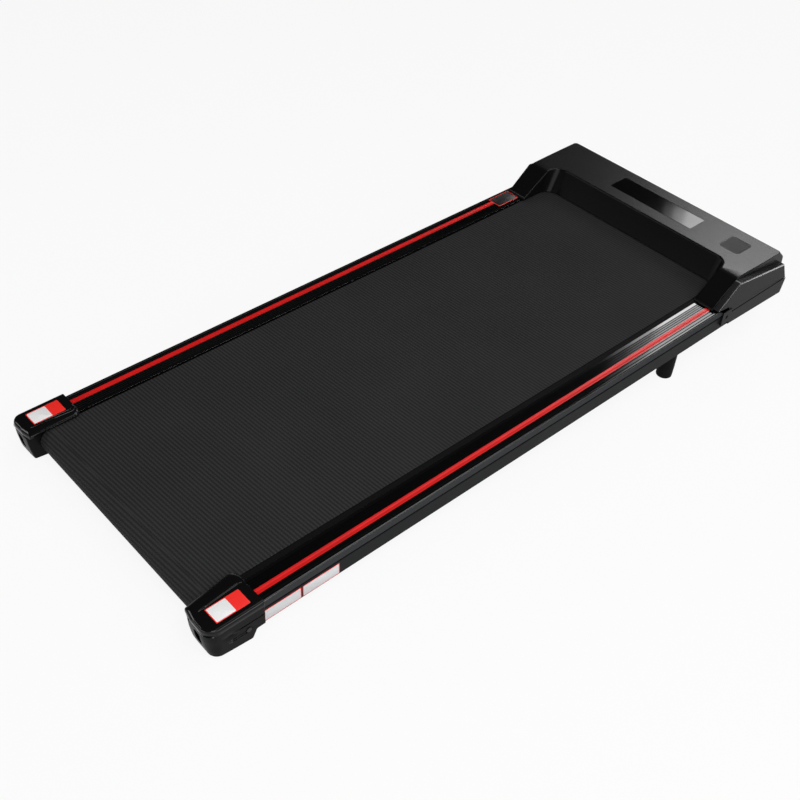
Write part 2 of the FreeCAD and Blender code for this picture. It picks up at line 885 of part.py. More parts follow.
def display_board():
    """Circuit board flat against the hood's ceiling, behind the lens."""
    return block((lens_x - lens_ledge, lens_x + lens_length + lens_ledge),
                 (lens_start - lens_ledge, lens_end + lens_ledge),
                 (hood_ceiling - circuit_thickness, hood_ceiling))


def grille_x():
    return (lens_x, lens_x + lens_length)


def grille_pocket(grow):
    """The outline of the grille plate; grow makes its pocket."""
    x = grille_x()
    return rounded_block((x[0] - grow, x[1] + grow),
                         (grille_start - grow, grille_start + grille_width + grow),
                         (hood_height - lens_thickness, hood_height + grow), grille_radius + grow)


def speaker_grille():
    """Round-cornered plate pierced by a grid of holes."""
    x = grille_x()
    plate = grille_pocket(0)
    centre = ((x[0] + x[1]) / 2, grille_start + grille_width / 2)
    reach = (grille_holes - 1) * grille_pitch / 2
    holes = [rod_z(grille_hole / 2, centre[0] - reach + i * grille_pitch,
                   centre[1] - reach + j * grille_pitch,
                   (hood_height - lens_thickness - overrun, hood_height + overrun))
             for i in range(grille_holes) for j in range(grille_holes)]
    return plate.cut(Part.makeCompound(holes))


def speaker():
    """Round speaker against the ceiling: flange, basket and magnet."""
    x = (grille_x()[0] + grille_x()[1]) / 2
    y = grille_start + grille_width / 2
    flange = rod_z(speaker_radius, x, y, (hood_ceiling - speaker_flange, hood_ceiling))
    low = hood_ceiling - speaker_flange - speaker_depth
    basket = Part.makeCone(speaker_magnet, speaker_radius - speaker_flange, speaker_depth,
                           FreeCAD.Vector(x, y, low))
    magnet = rod_z(speaker_magnet, x, y, (low - speaker_magnet_height, low))
    return flange.fuse(basket).fuse(magnet).removeSplitter()


def side_cover_outline(wall):
    """Outline of the left side cover: sloping front, falling top, upright rear, moved in by a wall."""
    slope = hood_height / cover_peak_offset
    peak = hood_foot + cover_peak_offset
    fall = (hood_height - cover_rear_height) / (overall_length - cover_rear_inset - peak)
    return [(hood_foot + wall + wall / slope, cover_foot_height + wall),
            (peak + wall, hood_height - wall - fall * wall),
            (overall_length - cover_rear_inset - wall, cover_rear_height - wall),
            (overall_length - wall, hood_bottom + wall), (rail_front + seat_gap + wall, hood_bottom + wall),
            (rail_front + seat_gap + wall, cover_foot_height + wall)]


def side_cover():
    """Left cover over the hood's flank: a shallow dish, open towards the hood."""
    solid = slab_y(side_cover_outline(0), (hood_half_width, cover_half_width))
    hollow = slab_y(side_cover_outline(cover_wall),
                    (hood_half_width - overrun, cover_half_width - cover_wall))
    return solid.cut(hollow)


def wheel_ear(y):
    """Ear of the belly pan that holds one end of a wheel's axle."""
    half = ear_length / 2
    return block((wheel_x - half, wheel_x + half), y, (pan_bottom, pan_bottom + ear_height))


def ear_spans():
    near = wheel_y - wheel_width / 2 - wheel_side_gap
    far = wheel_y + wheel_width / 2 + wheel_side_gap
    return ((near - ear_thickness, near), (far, far + ear_thickness))


def belly_pan():
    """Lower half of the hood: floor, front and side walls, wheel wells, posts and the power cut-outs."""
    floor_rear = front_roller_x + loop_radius + overrun
    x = (pan_rear, overall_length)
    outer = block(x, (-cover_half_width, cover_half_width), (pan_bottom, hood_bottom - seat_gap))
    nose = slab_y([(overall_length - pan_chamfer, pan_bottom),
                   (overall_length + overrun, pan_bottom - overrun),
                   (overall_length + overrun, hood_bottom), (overall_length, hood_bottom)],
                  (-cover_half_width - overrun, cover_half_width + overrun))
    hollow = block((pan_rear - overrun, overall_length - pan_chamfer - pan_wall),
                   (-cover_half_width + pan_wall, cover_half_width - pan_wall),
                   (pan_floor, hood_bottom + overrun))
    open_rear = block((pan_rear - overrun, floor_rear),
                      (-cover_half_width + pan_wall, cover_half_width - pan_wall),
                      (pan_bottom - overrun, hood_bottom + overrun))
    rise = slab_y([(pan_rear - overrun, -pan_rear_depth), (overall_length - pan_chamfer, pan_bottom),
                   (overall_length - pan_chamfer, pan_bottom - overrun),
                   (pan_rear - overrun, pan_bottom - overrun)],
                  (cover_half_width - pan_wall, cover_half_width + overrun))
    pan = outer.cut(nose).cut(hollow).cut(open_rear).cut(rise).cut(mirrored(rise))
    reach = wheel_radius + well_gap
    for side in (1, -1):
        spans = [sorted((side * a, side * b)) for a, b in ear_spans()]
        inner = sorted((side * ear_spans()[0][1], side * ear_spans()[1][0]))
        pan = pan.cut(block((wheel_x - reach, wheel_x + reach), inner,
                            (pan_bottom - overrun, hood_bottom + overrun)))
        for span in spans:
            pan = pan.fuse(wheel_ear(span))
        ends = sorted((side * ear_spans()[0][0], side * ear_spans()[1][1]))
        pan = pan.cut(rod_y(wheel_pin_radius + running_fit, wheel_x, wheel_z, ends))
    for px, py in hood_boss_places():
        pan = pan.fuse(rod_z(boss_radius, px, py, (pan_bottom, hood_bottom - seat_gap)))
        pan = pan.cut(hood_screw(px, py, running_fit))
    pan = pan.cut(front_window(inlet_y, inlet_width, inlet_height))
    return pan.cut(front_window(switch_y, switch_width, switch_height)).removeSplitter()


def front_window(y, width, height):
    """Opening in the pan's front wall for an inlet or a switch."""
    grow = seat_gap / 2
    return block((overall_length - inlet_depth - overrun, overall_length + overrun),
                 (y - width / 2 - grow, y + width / 2 + grow),
                 (inlet_z - height / 2 - grow, inlet_z + height / 2 + grow))


def hood_screw(x, y, grow):
    """Screw from under the pan into a boss of the hood; grow makes its hole."""
    head = rod_z(hood_screw_head + grow, x, y, (pan_bottom, pan_bottom + hood_screw_head_height + grow))
    shank = rod_z(hood_screw_radius + grow, x, y, (pan_bottom, hood_bottom + boss_height / 2 - seat_gap))
    return head.fuse(shank)


def side_clip():
    """Left clip over the end of the rail, with a blind square hole."""
    x = (clip_rear, clip_rear + clip_length)
    face = cover_half_width + clip_proud
    clip = block(x, (half_deck, face), (clip_top - clip_height, hood_bottom - seat_gap))
    clip = clip.fuse(block(x, (cover_half_width + seat_gap, face), (hood_bottom - seat_gap, clip_top)))
    middle = clip_rear + clip_length / 2
    low = clip_top - clip_height / 2
    half = clip_hole / 2
    hole = block((middle - half, middle + half), (face - clip_hole_depth, face + overrun),
                 (low - half, low + half))
    return clip.cut(hole).removeSplitter()


# Mains inlet and switch

def power_inlet():
    """Recessed appliance inlet: flanged housing with a cavity."""
    y = (inlet_y - inlet_width / 2, inlet_y + inlet_width / 2)
    z = (inlet_z - inlet_height / 2, inlet_z + inlet_height / 2)
    back = overall_length - inlet_depth
    body = block((back, overall_length), y, z)
    rim = block((overall_length, overall_length + inlet_face), (y[0] - inlet_rim, y[1] + inlet_rim),
                (z[0] - inlet_rim, z[1] + inlet_rim))
    cavity = block((overall_length + inlet_face - inlet_cavity_depth,
                    overall_length + inlet_face + overrun),
                   (y[0] + inlet_wall, y[1] - inlet_wall), (z[0] + inlet_wall, z[1] - inlet_wall))
    return body.fuse(rim).cut(cavity).removeSplitter()


def inlet_pins():
    """Three contact blades in the inlet, the middle one higher."""
    root = overall_length + inlet_face - inlet_cavity_depth
    pins = []
    for i in (-1, 0, 1):
        y = inlet_y + i * pin_pitch
        z = inlet_z + (pin_rise if i == 0 else -pin_rise)
        pins.append(block((root, root + pin_length), (y - pin_width / 2, y + pin_width / 2),
                          (z - pin_height / 2, z + pin_height / 2)))
    return pins


def rocker_pivot():
    return (overall_length + inlet_face - rocker_pivot_depth, switch_y)


def rocker_pin_hole(grow):
    """The rocker's cross pin, along Z; grow makes its holes."""
    x, y = rocker_pivot()
    half = switch_height / 2 - switch_wall / 2
    return rod_z(rocker_pivot_radius + grow, x, y, (inlet_z - half - grow, inlet_z + half + grow))


def power_switch_housing():
    """Flanged frame of the rocker switch, with a well for the rocker."""
    y = (switch_y - switch_width / 2, switch_y + switch_width / 2)
    z = (inlet_z - switch_height / 2, inlet_z + switch_height / 2)
    body = block((overall_length - switch_depth, overall_length), y, z)
    rim = block((overall_length, overall_length + inlet_face), (y[0] - inlet_rim, y[1] + inlet_rim),
                (z[0] - inlet_rim, z[1] + inlet_rim))
    well = block((overall_length + inlet_face - rocker_depth - rocker_pivot_depth,
                  overall_length + inlet_face + overrun),
                 (y[0] + switch_wall, y[1] - switch_wall), (z[0] + switch_wall, z[1] - switch_wall))
    return body.fuse(rim).cut(well).cut(rocker_pin_hole(running_fit)).removeSplitter()


def power_rocker():
    """Dished rocker, tipped to its off side, with a pivot pin through it."""
    x, y = rocker_pivot()
    face = overall_length + inlet_face
    half_z = switch_height / 2 - switch_wall - rocker_side_gap
    outline = [(face, y - rocker_half_length), (face - rocker_dish, y), (face, y + rocker_half_length),
               (face - rocker_depth, y + rocker_half_length / 2),
               (face - rocker_depth, y - rocker_half_length / 2)]
    rocker = slab_z(outline, (inlet_z - half_z, inlet_z + half_z)).fuse(rocker_pin_hole(0)).removeSplitter()
    rocker.rotate(FreeCAD.Vector(x, y, 0), Z_AXIS, -rocker_tilt)
    return rocker


# Foot rails

def stripe_span():
    outer = half_deck - stripe_inset
    return (outer - stripe_width, outer)


def foot_rail():
    """Left rail: a ribbed plate with an outer skirt, a leg on the deck and a leg on the side member."""
    ends = (rail_rear, rail_front)
    rail = block(ends, (rail_inner, half_deck), (-rail_plate, 0))
    rail = rail.fuse(block(ends, (half_deck - rail_skirt_wall, half_deck), (-rail_skirt, 0)))
    deck_leg = rail_inner + rail_leg_inset
    rail = rail.fuse(block(ends, (deck_leg, deck_leg + rail_leg), (board_top, 0)))
    member_leg = half_deck - rail_member_leg_inset - rail_leg
    rail = rail.fuse(block(ends, (member_leg, member_leg + rail_leg), (member_top, 0)))
    stripe = stripe_span()
    long = (rail_rear - overrun, rail_front + overrun)
    rail = rail.cut(block(long, stripe, (-stripe_thickness, overrun)))
    for i in range(ribs_each_side):
        for start in (stripe[0] - (i + 1) * rib_pitch, stripe[1] + (i + 1) * rib_pitch - rib_width):
            if start + rib_width < half_deck:
                rail = rail.cut(block(long, (start, start + rib_width), (-rib_depth, overrun)))
    return rail.removeSplitter()


def rail_stripe():
    """Left red inlay strip, flush with the rail's top."""
    return block((cap_length, hood_foot), stripe_span(), (-stripe_thickness, 0))


# Rear caps

def cap_plan(z):
    """Left cap from above: a box with round rear corners, wide on the outer one."""
    outer = cap_half_width
    solid = block((0, cap_length), (cap_lip_inner, outer), z)

    def upright(y):
        return [e for e in solid.Edges if e.BoundBox.XMax < overrun and e.BoundBox.YMin > y - overrun
                and e.BoundBox.YMax < y + overrun]

    solid = solid.makeFillet(cap_rear_radius, upright(outer))
    return solid.makeFillet(cap_inner_radius, upright(cap_lip_inner))


def top_edges(solid, level):
    return [e for e in solid.Edges
            if e.BoundBox.ZMin > level - seat_gap and e.BoundBox.XMin < cap_length - seat_gap]


def rear_cap():
    """Left end cap: a hollow moulding over the ends of rail and side member, with a lip over the belt."""
    cap = cap_plan((-cap_depth, cap_height))
    cap = cap.makeFillet(cap_edge_radius, top_edges(cap, cap_height))
    beyond = cap_length + overrun
    under_lip = cap_lip_gap - belt_drop
    belt_way = block((cap_return, beyond), (cap_lip_inner - overrun, cheek_inner),
                     (-cap_depth - overrun, under_lip))
    step_x = cap_length - cap_step_length
    hollow_outer = half_deck + seat_gap
    main = block((cap_rear_wall, step_x), (cheek_inner + cap_cheek, hollow_outer),
                 (-cap_depth + cap_bottom_wall, seat_gap))
    front = block((step_x - overrun, beyond), (cheek_inner + cap_cheek, hollow_outer),
                  (member_bottom - seat_gap, seat_gap))
    rail_way = block((rail_rear - cap_cheek_end_gap, beyond), (cheek_inner - overrun, hollow_outer),
                     (board_bottom - seat_gap, seat_gap))
    rounding = Part.makeCylinder(cap_rear_radius - cap_wall, cap_depth + overrun,
                                 FreeCAD.Vector(cap_rear_radius, cap_half_width - cap_rear_radius,
                                                -cap_depth + cap_bottom_wall))
    corner = block((cap_rear_wall - overrun, cap_rear_radius),
                   (cap_half_width - cap_rear_radius, cap_half_width),
                   (-cap_depth, cap_height))
    main = main.cut(corner.cut(rounding))
    step = slab_y([(step_x, -cap_depth - overrun), (step_x, -cap_depth),
                   (step_x + cap_step_slope, -cap_depth + cap_step_height),
                   (beyond, -cap_depth + cap_step_height), (beyond, -cap_depth - overrun)],
                  (cap_lip_inner - overrun, cap_half_width + overrun))
    cap = cap.cut(belt_way).cut(main).cut(front).cut(rail_way).cut(step)
    axle_way = block((rear_roller_x - axle_radius - seat_gap, beyond),
                     (cheek_inner - overrun, cheek_inner + cap_cheek + overrun),
                     (roller_z - axle_radius - seat_gap, roller_z + axle_radius + seat_gap))
    key_slot = block((-overrun, cap_rear_wall + overrun),
                     (bolt_y - key_slot_width / 2, bolt_y + key_slot_width / 2),
                     (key_slot_top - key_slot_height, key_slot_top))
    panel = rounded_block((cap_panel_margin, cap_length - cap_panel_margin),
                          (cap_panel_inner, cap_half_width - cap_panel_margin),
                          (cap_height - cap_panel_depth, cap_height + overrun), cap_panel_radius)
    return cap.cut(axle_way).cut(key_slot).cut(panel).cut(cap_screw(running_fit)).removeSplitter()


def cap_screw(grow):
    """Left cap's side screw into the side member; grow makes its hole."""
    x = cap_length - cap_screw_inset
    head_start = cap_half_width - cap_screw_head_height
    head = rod_y(cap_screw_head + grow, x, cap_screw_z, (head_start - grow, cap_half_width))
    shank = rod_y(cap_screw_radius + grow, x, cap_screw_z, (head_start - cap_screw_length, cap_half_width))
    return head.fuse(shank)


# Feet, pads and wheels

def below_floor():
    """Everything under the floor, which slopes in the level deck's frame."""
    far = overall_length + cap_length
    drop = math.tan(math.radians(incline))

    def level(x):
        return pad_floor - (x - pad_inset) * drop

    return slab_y([(-cap_length, level(-cap_length)), (far, level(far)), (far, level(far) - far),
                   (-cap_length, level(far) - far)],
                  (-deck_width, deck_width))


def front_foot():
    """Left rubber foot under the side member, with a blind hole for its stud."""
    foot = rod_z(foot_radius, foot_x, foot_y(), (-foot_drop - overrun, member_bottom))
    hole = rod_z(foot_stud_radius + running_fit, foot_x, foot_y(),
                 (member_bottom - foot_stud_depth, member_bottom + overrun))
    return foot.cut(hole).cut(below_floor())


def foot_stud():
    """Stud of the left foot with its nut on the floor of the side member."""
    inside = member_bottom + member_wall
    stud = rod_z(foot_stud_radius, foot_x, foot_y(),
                 (member_bottom - foot_stud_depth, inside + foot_nut_height))
    corners = [(foot_x + foot_nut_radius * math.cos(i * math.pi / 3),
                foot_y() + foot_nut_radius * math.sin(i * math.pi / 3))
               for i in range(6)]
    return stud.fuse(slab_z(corners, (inside, inside + foot_nut_height))).removeSplitter()


def rear_pad():
    """Left rubber pad under the cap, cut level with the floor."""
    middle = (cheek_inner + cap_half_width) / 2
    return rod_z(pad_radius, pad_inset, middle,
                 (-cap_depth - pad_thickness - overrun, -cap_depth)).cut(below_floor())


def transport_wheel():
    """Left wheel with bevelled edges."""
    half = wheel_width / 2
    wheel = rod_y(wheel_radius, wheel_x, wheel_z, (wheel_y - half, wheel_y + half))
    wheel = wheel.makeChamfer(wheel_edge,
                              [e for e in wheel.Edges if e.Length > 2 * math.pi * (wheel_radius - overrun)])
    return wheel.cut(rod_y(wheel_pin_radius + running_fit, wheel_x, wheel_z,
                           (wheel_y - half - overrun, wheel_y + half + overrun)))


def wheel_axle():
    spans = ear_spans()
    return rod_y(wheel_pin_radius, wheel_x, wheel_z, (spans[0][0], spans[1][1]))


# Assembly

def assembly():
    """Every node of the pad with its solids, in the level deck's frame."""
    member = side_member()
    rail = foot_rail()
    stripe = rail_stripe()
    cap = rear_cap()
    cover = side_cover()
    bolt = tension_bolt()
    wheel = transport_wheel()
    deck_places = [(x, y) for x in cross_stations for y in (-deck_screw_y, deck_screw_y)]
    return {
        "left_side_member": [member],
        "right_side_member": [mirrored(member)],
        "cross_members": [cross_member(x) for x in cross_stations],
        "rear_axle_brackets": pair(axle_bracket()),
        "motor_tray": [motor_tray()],
        "front_axle_plates": pair(front_axle_plate()),
        "axle_plate_screws": [s for screw in front_axle_plate_screws() for s in pair(screw)],
        "deck_board": [deck_board()],
        "deck_cushions": [deck_cushion(x, y) for x, y in deck_places],
        "deck_screws": [deck_screw(x, y, 0) for x, y in deck_places],
        "walking_belt": [walking_belt()],
        "front_roller_tube": [roller_tube(front_roller_x, front_roller_span())],
        "front_roller_bearings": roller_bearings(front_roller_x, front_roller_span()),
        "front_axle": [front_axle()],
        "drive_pulley": [drive_pulley()],
        "rear_roller_tube": [roller_tube(rear_roller_x, rear_roller_span())],
        "rear_roller_bearings": roller_bearings(rear_roller_x, rear_roller_span()),
        "rear_axle": [rear_axle()],
        "left_tension_bolt": [bolt],
        "right_tension_bolt": [mirrored(bolt)],
        "motor_body": [motor_body()],
        "motor_cradle": [motor_cradle()],
        "motor_straps": [motor_strap(y) for y in strap_places()],
        "strap_bolts": strap_bolts(0),
        "motor_shaft": [motor_shaft()],
        "motor_pulley": [motor_pulley()],
        "motor_fan": [motor_fan()],
        "drive_belt": [drive_belt()],
        "controller_board": [controller_board()],
        "board_standoffs": board_standoffs(),
        "controller_heatsink": [controller_heatsink()],
        "controller_capacitors": controller_capacitors(),
        "hood_cover": [hood_cover()],
        "display_lens": [display_lens()],
        "display_board": [display_board()],
        "speaker_grille": [speaker_grille()],
        "speaker": [speaker()],
        "left_side_cover": [cover],
        "right_side_cover": [mirrored(cover)],
        "belly_pan": [belly_pan()],
        "hood_screws": [hood_screw(x, y, 0) for x, y in hood_boss_places()],
        "side_clips": pair(side_clip()),
        "power_inlet": [power_inlet()],
        "inlet_pins": inlet_pins(),
        "power_switch_housing": [power_switch_housing()],
        "power_rocker": [power_rocker()],
        "left_foot_rail": [rail],
        "right_foot_rail": [mirrored(rail)],
        "left_rail_stripe": [stripe],
        "right_rail_stripe": [mirrored(stripe)],
        "left_rear_cap": [cap],
        "right_rear_cap": [mirrored(cap)],
        "cap_screws": pair(cap_screw(0)),
        "rear_pads": pair(rear_pad()),
        "front_feet": pair(front_foot()),
        "foot_studs": pair(foot_stud()),
        "left_transport_wheel": [wheel],
        "right_transport_wheel": [mirrored(wheel)],
        "wheel_axles": pair(wheel_axle()),
    }


def stand(shape):
    """Tip a shape of the level deck so that feet and pads meet the floor."""
    tipped = shape.copy()
    tipped.rotate(ORIGIN, Y_AXIS, -incline)
    return tipped


nodes = {name: [stand(s) for s in solids] for name, solids in assembly().items()}
whole = FreeCAD.BoundBox()
for solids in nodes.values():
    for solid in solids:
        whole.add(solid.optimalBoundingBox(False))
home = FreeCAD.Vector(-(whole.XMin + whole.XMax) / 2, -(whole.YMin + whole.YMax) / 2, -whole.ZMin)

os.makedirs("parts", exist_ok=True)
for name, solids in nodes.items():
    for solid in solids:
        solid.translate(home)
    shape = solids[0] if len(solids) == 1 else Part.makeCompound(solids)
    shape.exportStep("parts/" + name + ".step")
print("incline", round(incline, 3), "size", round(whole.XLength, 1), round(whole.YLength, 1),
      round(whole.ZLength, 1))
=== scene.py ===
import json
import math

import bmesh
import bpy
import numpy as np
from mathutils import Matrix


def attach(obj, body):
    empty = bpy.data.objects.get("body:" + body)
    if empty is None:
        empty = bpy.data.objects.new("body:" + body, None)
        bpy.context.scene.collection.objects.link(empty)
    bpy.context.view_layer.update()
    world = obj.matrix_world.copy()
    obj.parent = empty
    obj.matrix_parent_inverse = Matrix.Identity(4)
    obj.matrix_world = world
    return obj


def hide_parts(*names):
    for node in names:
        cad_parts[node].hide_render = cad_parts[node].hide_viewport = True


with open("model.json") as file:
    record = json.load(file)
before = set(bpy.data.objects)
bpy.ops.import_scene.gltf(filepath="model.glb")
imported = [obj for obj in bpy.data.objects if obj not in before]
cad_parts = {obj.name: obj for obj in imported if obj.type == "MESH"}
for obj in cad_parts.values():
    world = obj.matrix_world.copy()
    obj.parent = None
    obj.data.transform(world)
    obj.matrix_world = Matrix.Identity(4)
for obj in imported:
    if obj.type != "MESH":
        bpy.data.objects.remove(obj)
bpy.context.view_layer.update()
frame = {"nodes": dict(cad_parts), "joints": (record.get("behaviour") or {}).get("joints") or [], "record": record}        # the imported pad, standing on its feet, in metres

# Steel frame: two box-section side members joined by flat cross tubes, with the axle brackets, axle plates
# and motor tray bolted or welded on. It is powder coated in one dark blue-grey, so every edge is a little
# soft and the coat shows a faint orange peel.


class Tone:
    """A socket in a finish's node tree. Arithmetic on tones adds Math nodes to that tree."""

    def __init__(self, socket):
        self.socket = socket

    def node(self, kind, settings, sockets, output=0):
        """Any other node: its settings are set first, then each socket takes a value or a link."""
        tree = self.socket.id_data
        made = tree.nodes.new("ShaderNode" + kind)
        for key, value in settings.items():
            setattr(made, key, value)
        for key, value in sockets.items():
            if isinstance(value, Tone):
                tree.links.new(value.socket, made.inputs[key])
            else:
                made.inputs[key].default_value = value
        return Tone(made.outputs[output])

    def math(self, operation, first, second=0.0):
        return self.node("Math", {"operation": operation}, {0: first, 1: second})

    def __add__(self, other):
        return self.math("ADD", self, other)

    def __sub__(self, other):
        return self.math("SUBTRACT", self, other)

    def __rsub__(self, other):
        return self.math("SUBTRACT", other, self)

    def __mul__(self, other):
        return self.math("MULTIPLY", self, other)

    __radd__ = __add__
    __rmul__ = __mul__

    def ramp(self, low, high):
        """0 below low, 1 above high and a smooth step between."""
        return self.node("MapRange", {"interpolation_type": "SMOOTHSTEP"},
                         {"Value": self, "From Min": low, "From Max": high})

    def colours(self, first, second):
        """The first colour where this tone is 0 and the second where it is 1."""
        first, second = [c if isinstance(c, Tone) else (*c, 1) for c in (first, second)]
        return self.node("Mix", {"data_type": "RGBA"}, {0: self, 6: first, 7: second}, 2)

    def noise(self, scale, detail=2.0):
        """Noise on this vector, about 0 to 1, with features of 1 / scale metres."""
        return self.node("TexNoise", {}, {"Vector": self, "Scale": scale, "Detail": detail})

    def axes(self):
        """The three parts of this vector."""
        split = self.node("SeparateXYZ", {}, {0: self})
        return [Tone(out) for out in split.socket.node.outputs]

    def lift(self):
        """How far the surface faces up: 1 on a level top, 0 on a wall and -1 underneath."""
        return self.node("NewGeometry", {}, {}, "Normal").axes()[2]


def finish(name, colour, roughness, **plain):
    """A Principled material with its plain values set on the sockets, and its object coordinates."""
    material = bpy.data.materials.new(name)
    material.use_nodes = True
    shader = material.node_tree.nodes["Principled BSDF"]
    plain.update(Base_Color=(*colour, 1), Roughness=roughness)
    for key, value in plain.items():
        shader.inputs[key.replace("_", " ")].default_value = value
    place_of = Tone(shader.outputs[0]).node("TexCoord", {}, {}, "Object")
    return material, place_of


def feed(material, **tones):
    """Links tones to the material's shader by socket name, with _ for a space."""
    shader = material.node_tree.nodes["Principled BSDF"]
    for key, tone in tones.items():
        material.node_tree.links.new(tone.socket, shader.inputs[key.replace("_", " ")])
    return material


def relief(height, distance, edge=0.0):
    """A bump of that depth in metres, on edges softened by a radius."""
    sockets = {"Height": height, "Distance": distance, "Strength": 1.0}
    if edge:
        sockets["Normal"] = height.node("Bevel", {"samples": 6}, {"Radius": edge})
    return height.node("Bump", {}, sockets)


def dress(material, *nodes):
    """Gives CAD pieces their finish."""
    for node in nodes:
        for holder in frame["nodes"][node].material_slots:
            holder.material = material


def shade(colour, share):
    """A lighter or darker tone of a colour."""
    return tuple(part * share for part in colour)


def powder_coat():
    """Orange peel of about 1.5 mm, slow gloss changes and a little pale dust."""
    coat_colour = (0.0094, 0.0098, 0.0104)
    dust_colour = (0.015, 0.0154, 0.0158)
    peel_depth, soft_edge = 0.00004, 0.0012
    material, at = finish("powder_coat", coat_colour, 0.42, Specular_IOR_Level=0.035)
    peel = at.noise(650.0)
    cloud = at.noise(14.0, 4.0)
    return feed(material, Base_Color=cloud.ramp(0.45, 0.8).colours(coat_colour, dust_colour),
                Roughness=cloud * 0.18 + 0.34, Normal=relief(peel, peel_depth, soft_edge))


coat = powder_coat()
dress(coat, "left_side_member", "right_side_member", "cross_members", "rear_axle_brackets", "motor_tray",
      "front_axle_plates", "motor_cradle")

# Deck: a fibreboard panel with a slick black film on both faces, on rubber rings, screwed down to the cross
# tubes along both edges. The belt hides nearly all of it; pressed fibres show at its cut edges.


def fibreboard():
    """Black film where the surface faces up or down, and pressed brown fibres, as thin noise, elsewhere."""
    film, pale, dark = (0.002, 0.002, 0.002), (0.30, 0.20, 0.12), (0.14, 0.09, 0.055)
    material, at = finish("fibreboard", pale, 0.6, Specular_IOR_Level=0.08)
    stretched = at.node("Mapping", {}, {"Vector": at, "Scale": (40.0, 220.0, 400.0)})
    fibres = stretched.noise(1.0, 5.0)
    lift = at.lift()
    faced = (lift * lift).ramp(0.6, 0.9)
    wood = fibres.ramp(0.3, 0.7).colours(dark, pale)
    return feed(material, Base_Color=faced.colours(wood, film),
                Roughness=fibres * 0.2 + 0.5, Normal=relief(fibres, 0.00003, 0.0006))


def moulded_rubber(name, colour):
    """Matt rubber with a fine sandy skin and greyer worn patches."""
    worn = shade(colour, 2.2)
    material, at = finish(name, colour, 0.75, Specular_IOR_Level=0.08)
    skin = at.noise(1500.0)
    wear = at.noise(45.0, 5.0)
    return feed(material, Base_Color=wear.ramp(0.5, 0.85).colours(colour, worn),
                Roughness=wear * 0.2 + 0.62, Normal=relief(skin, 0.00005, 0.0008))


rubber = moulded_rubber("black_rubber", (0.0022, 0.0022, 0.0023))
dress(fibreboard(), "deck_board")
dress(rubber, "deck_cushions", "drive_belt")

# Steelwork: turned axles and roller tubes, bearings, bolts and screws. They are zinc plated, black where they
# show, or bright turned, with fine circular tool marks about the axle's direction.


def bright_steel(name, colour, roughness, lines):
    """Metal with fine turning lines, as bands across the pad, and a slow change of gloss."""
    material, at = finish(name, colour, roughness, Metallic=1.0)
    across = at.axes()[1]
    tool_marks = across.math("SINE", across * lines)
    cloud = at.noise(60.0, 3.0)
    return feed(material, Roughness=cloud * 0.2 + (roughness - 0.1),
                Base_Color=cloud.colours(shade(colour, 0.8), colour),
                Normal=relief(tool_marks, 0.000004, 0.0004))


zinc = bright_steel("zinc_plate", (0.52, 0.52, 0.53), 0.34, 9000.0)
dress(zinc, "axle_plate_screws", "front_axle", "rear_axle", "strap_bolts", "motor_shaft", "hood_screws",
      "foot_studs", "wheel_axles", "motor_straps", "front_roller_bearings", "rear_roller_bearings")
dress(bright_steel("black_zinc", (0.03, 0.03, 0.032), 0.4, 6000.0), "cap_screws", "deck_screws",
      "left_tension_bolt", "right_tension_bolt")
dress(bright_steel("turned_roller", (0.40, 0.40, 0.41), 0.3, 5000.0), "front_roller_tube", "rear_roller_tube")
dress(bright_steel("turned_pulley", (0.60, 0.60, 0.62), 0.28, 7000.0), "drive_pulley", "motor_pulley")

# Walking belt: an endless two-ply belt, 398 mm wide and 1.6 mm thick, tight over both rollers. Its rubber
# face has fine raised ribs across the belt, broken into short grains.

slide_axis = next(j["axis"] for j in frame["joints"] if j["name"] == "rear_axle_slide")
rear_spin = next(j["pos_m"] for j in frame["joints"] if j["name"] == "rear_roller_spin")
front_spin = next(j["pos_m"] for j in frame["joints"] if j["name"] == "front_roller_spin")
rear_roller_from_tip = 0.044
roller_depth = 0.0229
along = np.array(slide_axis)
left = np.array((0.0, 1.0, 0.0))
up = np.cross(along, left)
deck_axes = np.stack([along, left, up])
deck_origin = np.array(rear_spin) - rear_roller_from_tip * along + roller_depth * up
roller_pitch = float((np.array(front_spin) - np.array(rear_spin)) @ along)


def place(points):
    """Deck points tipped to the pad's incline: along from the caps' rear tips, to the left, above the rails."""
    return np.asarray(points) @ deck_axes + deck_origin


def surface(name, grid, loop_rows=False, loop_columns=False, ends=False, uv=None, sharp=32.0):
    """Quads between neighbouring rows and columns of an (n, m, 3) grid of deck points. Looped rows or columns
    join last to first; ends closes the first and last rows with flat faces."""
    rows, columns = grid.shape[:2]
    i, j = np.mgrid[0:rows - (not loop_rows), 0:columns - (not loop_columns)]
    corners = [(i, j), (i + 1, j), (i + 1, j + 1), (i, j + 1)]
    quads = np.stack([(a % rows) * columns + b % columns for a, b in corners], -1).reshape(-1, 4)
    faces = quads.tolist()
    if ends:
        faces += [list(range(columns)), list(range((rows - 1) * columns, rows * columns))]
    mesh = bpy.data.meshes.new(name)
    mesh.from_pydata(place(grid).reshape(-1, 3).tolist(), [], faces)
    if uv is not None:
        layer = mesh.uv_layers.new(name="measured")
        layer.data.foreach_set("uv", np.stack([uv[a, b] for a, b in corners], -2).ravel())
    return finished(name, mesh, sharp)


def finished(name, mesh, sharp):
    """An object for a mesh: doubles merged, faces turned outwards, smooth but for its sharp edges."""
    edit = bmesh.new()
    edit.from_mesh(mesh)
    bmesh.ops.remove_doubles(edit, verts=edit.verts, dist=1e-6)
    bmesh.ops.dissolve_degenerate(edit, edges=edit.edges, dist=1e-7)
    bmesh.ops.recalc_face_normals(edit, faces=edit.faces)
    edit.to_mesh(mesh)
    edit.free()
    mesh.shade_smooth()
    mesh.set_sharp_from_angle(angle=math.radians(sharp))
    piece = bpy.data.objects.new(name, mesh)
    bpy.context.scene.collection.objects.link(piece)
    return piece


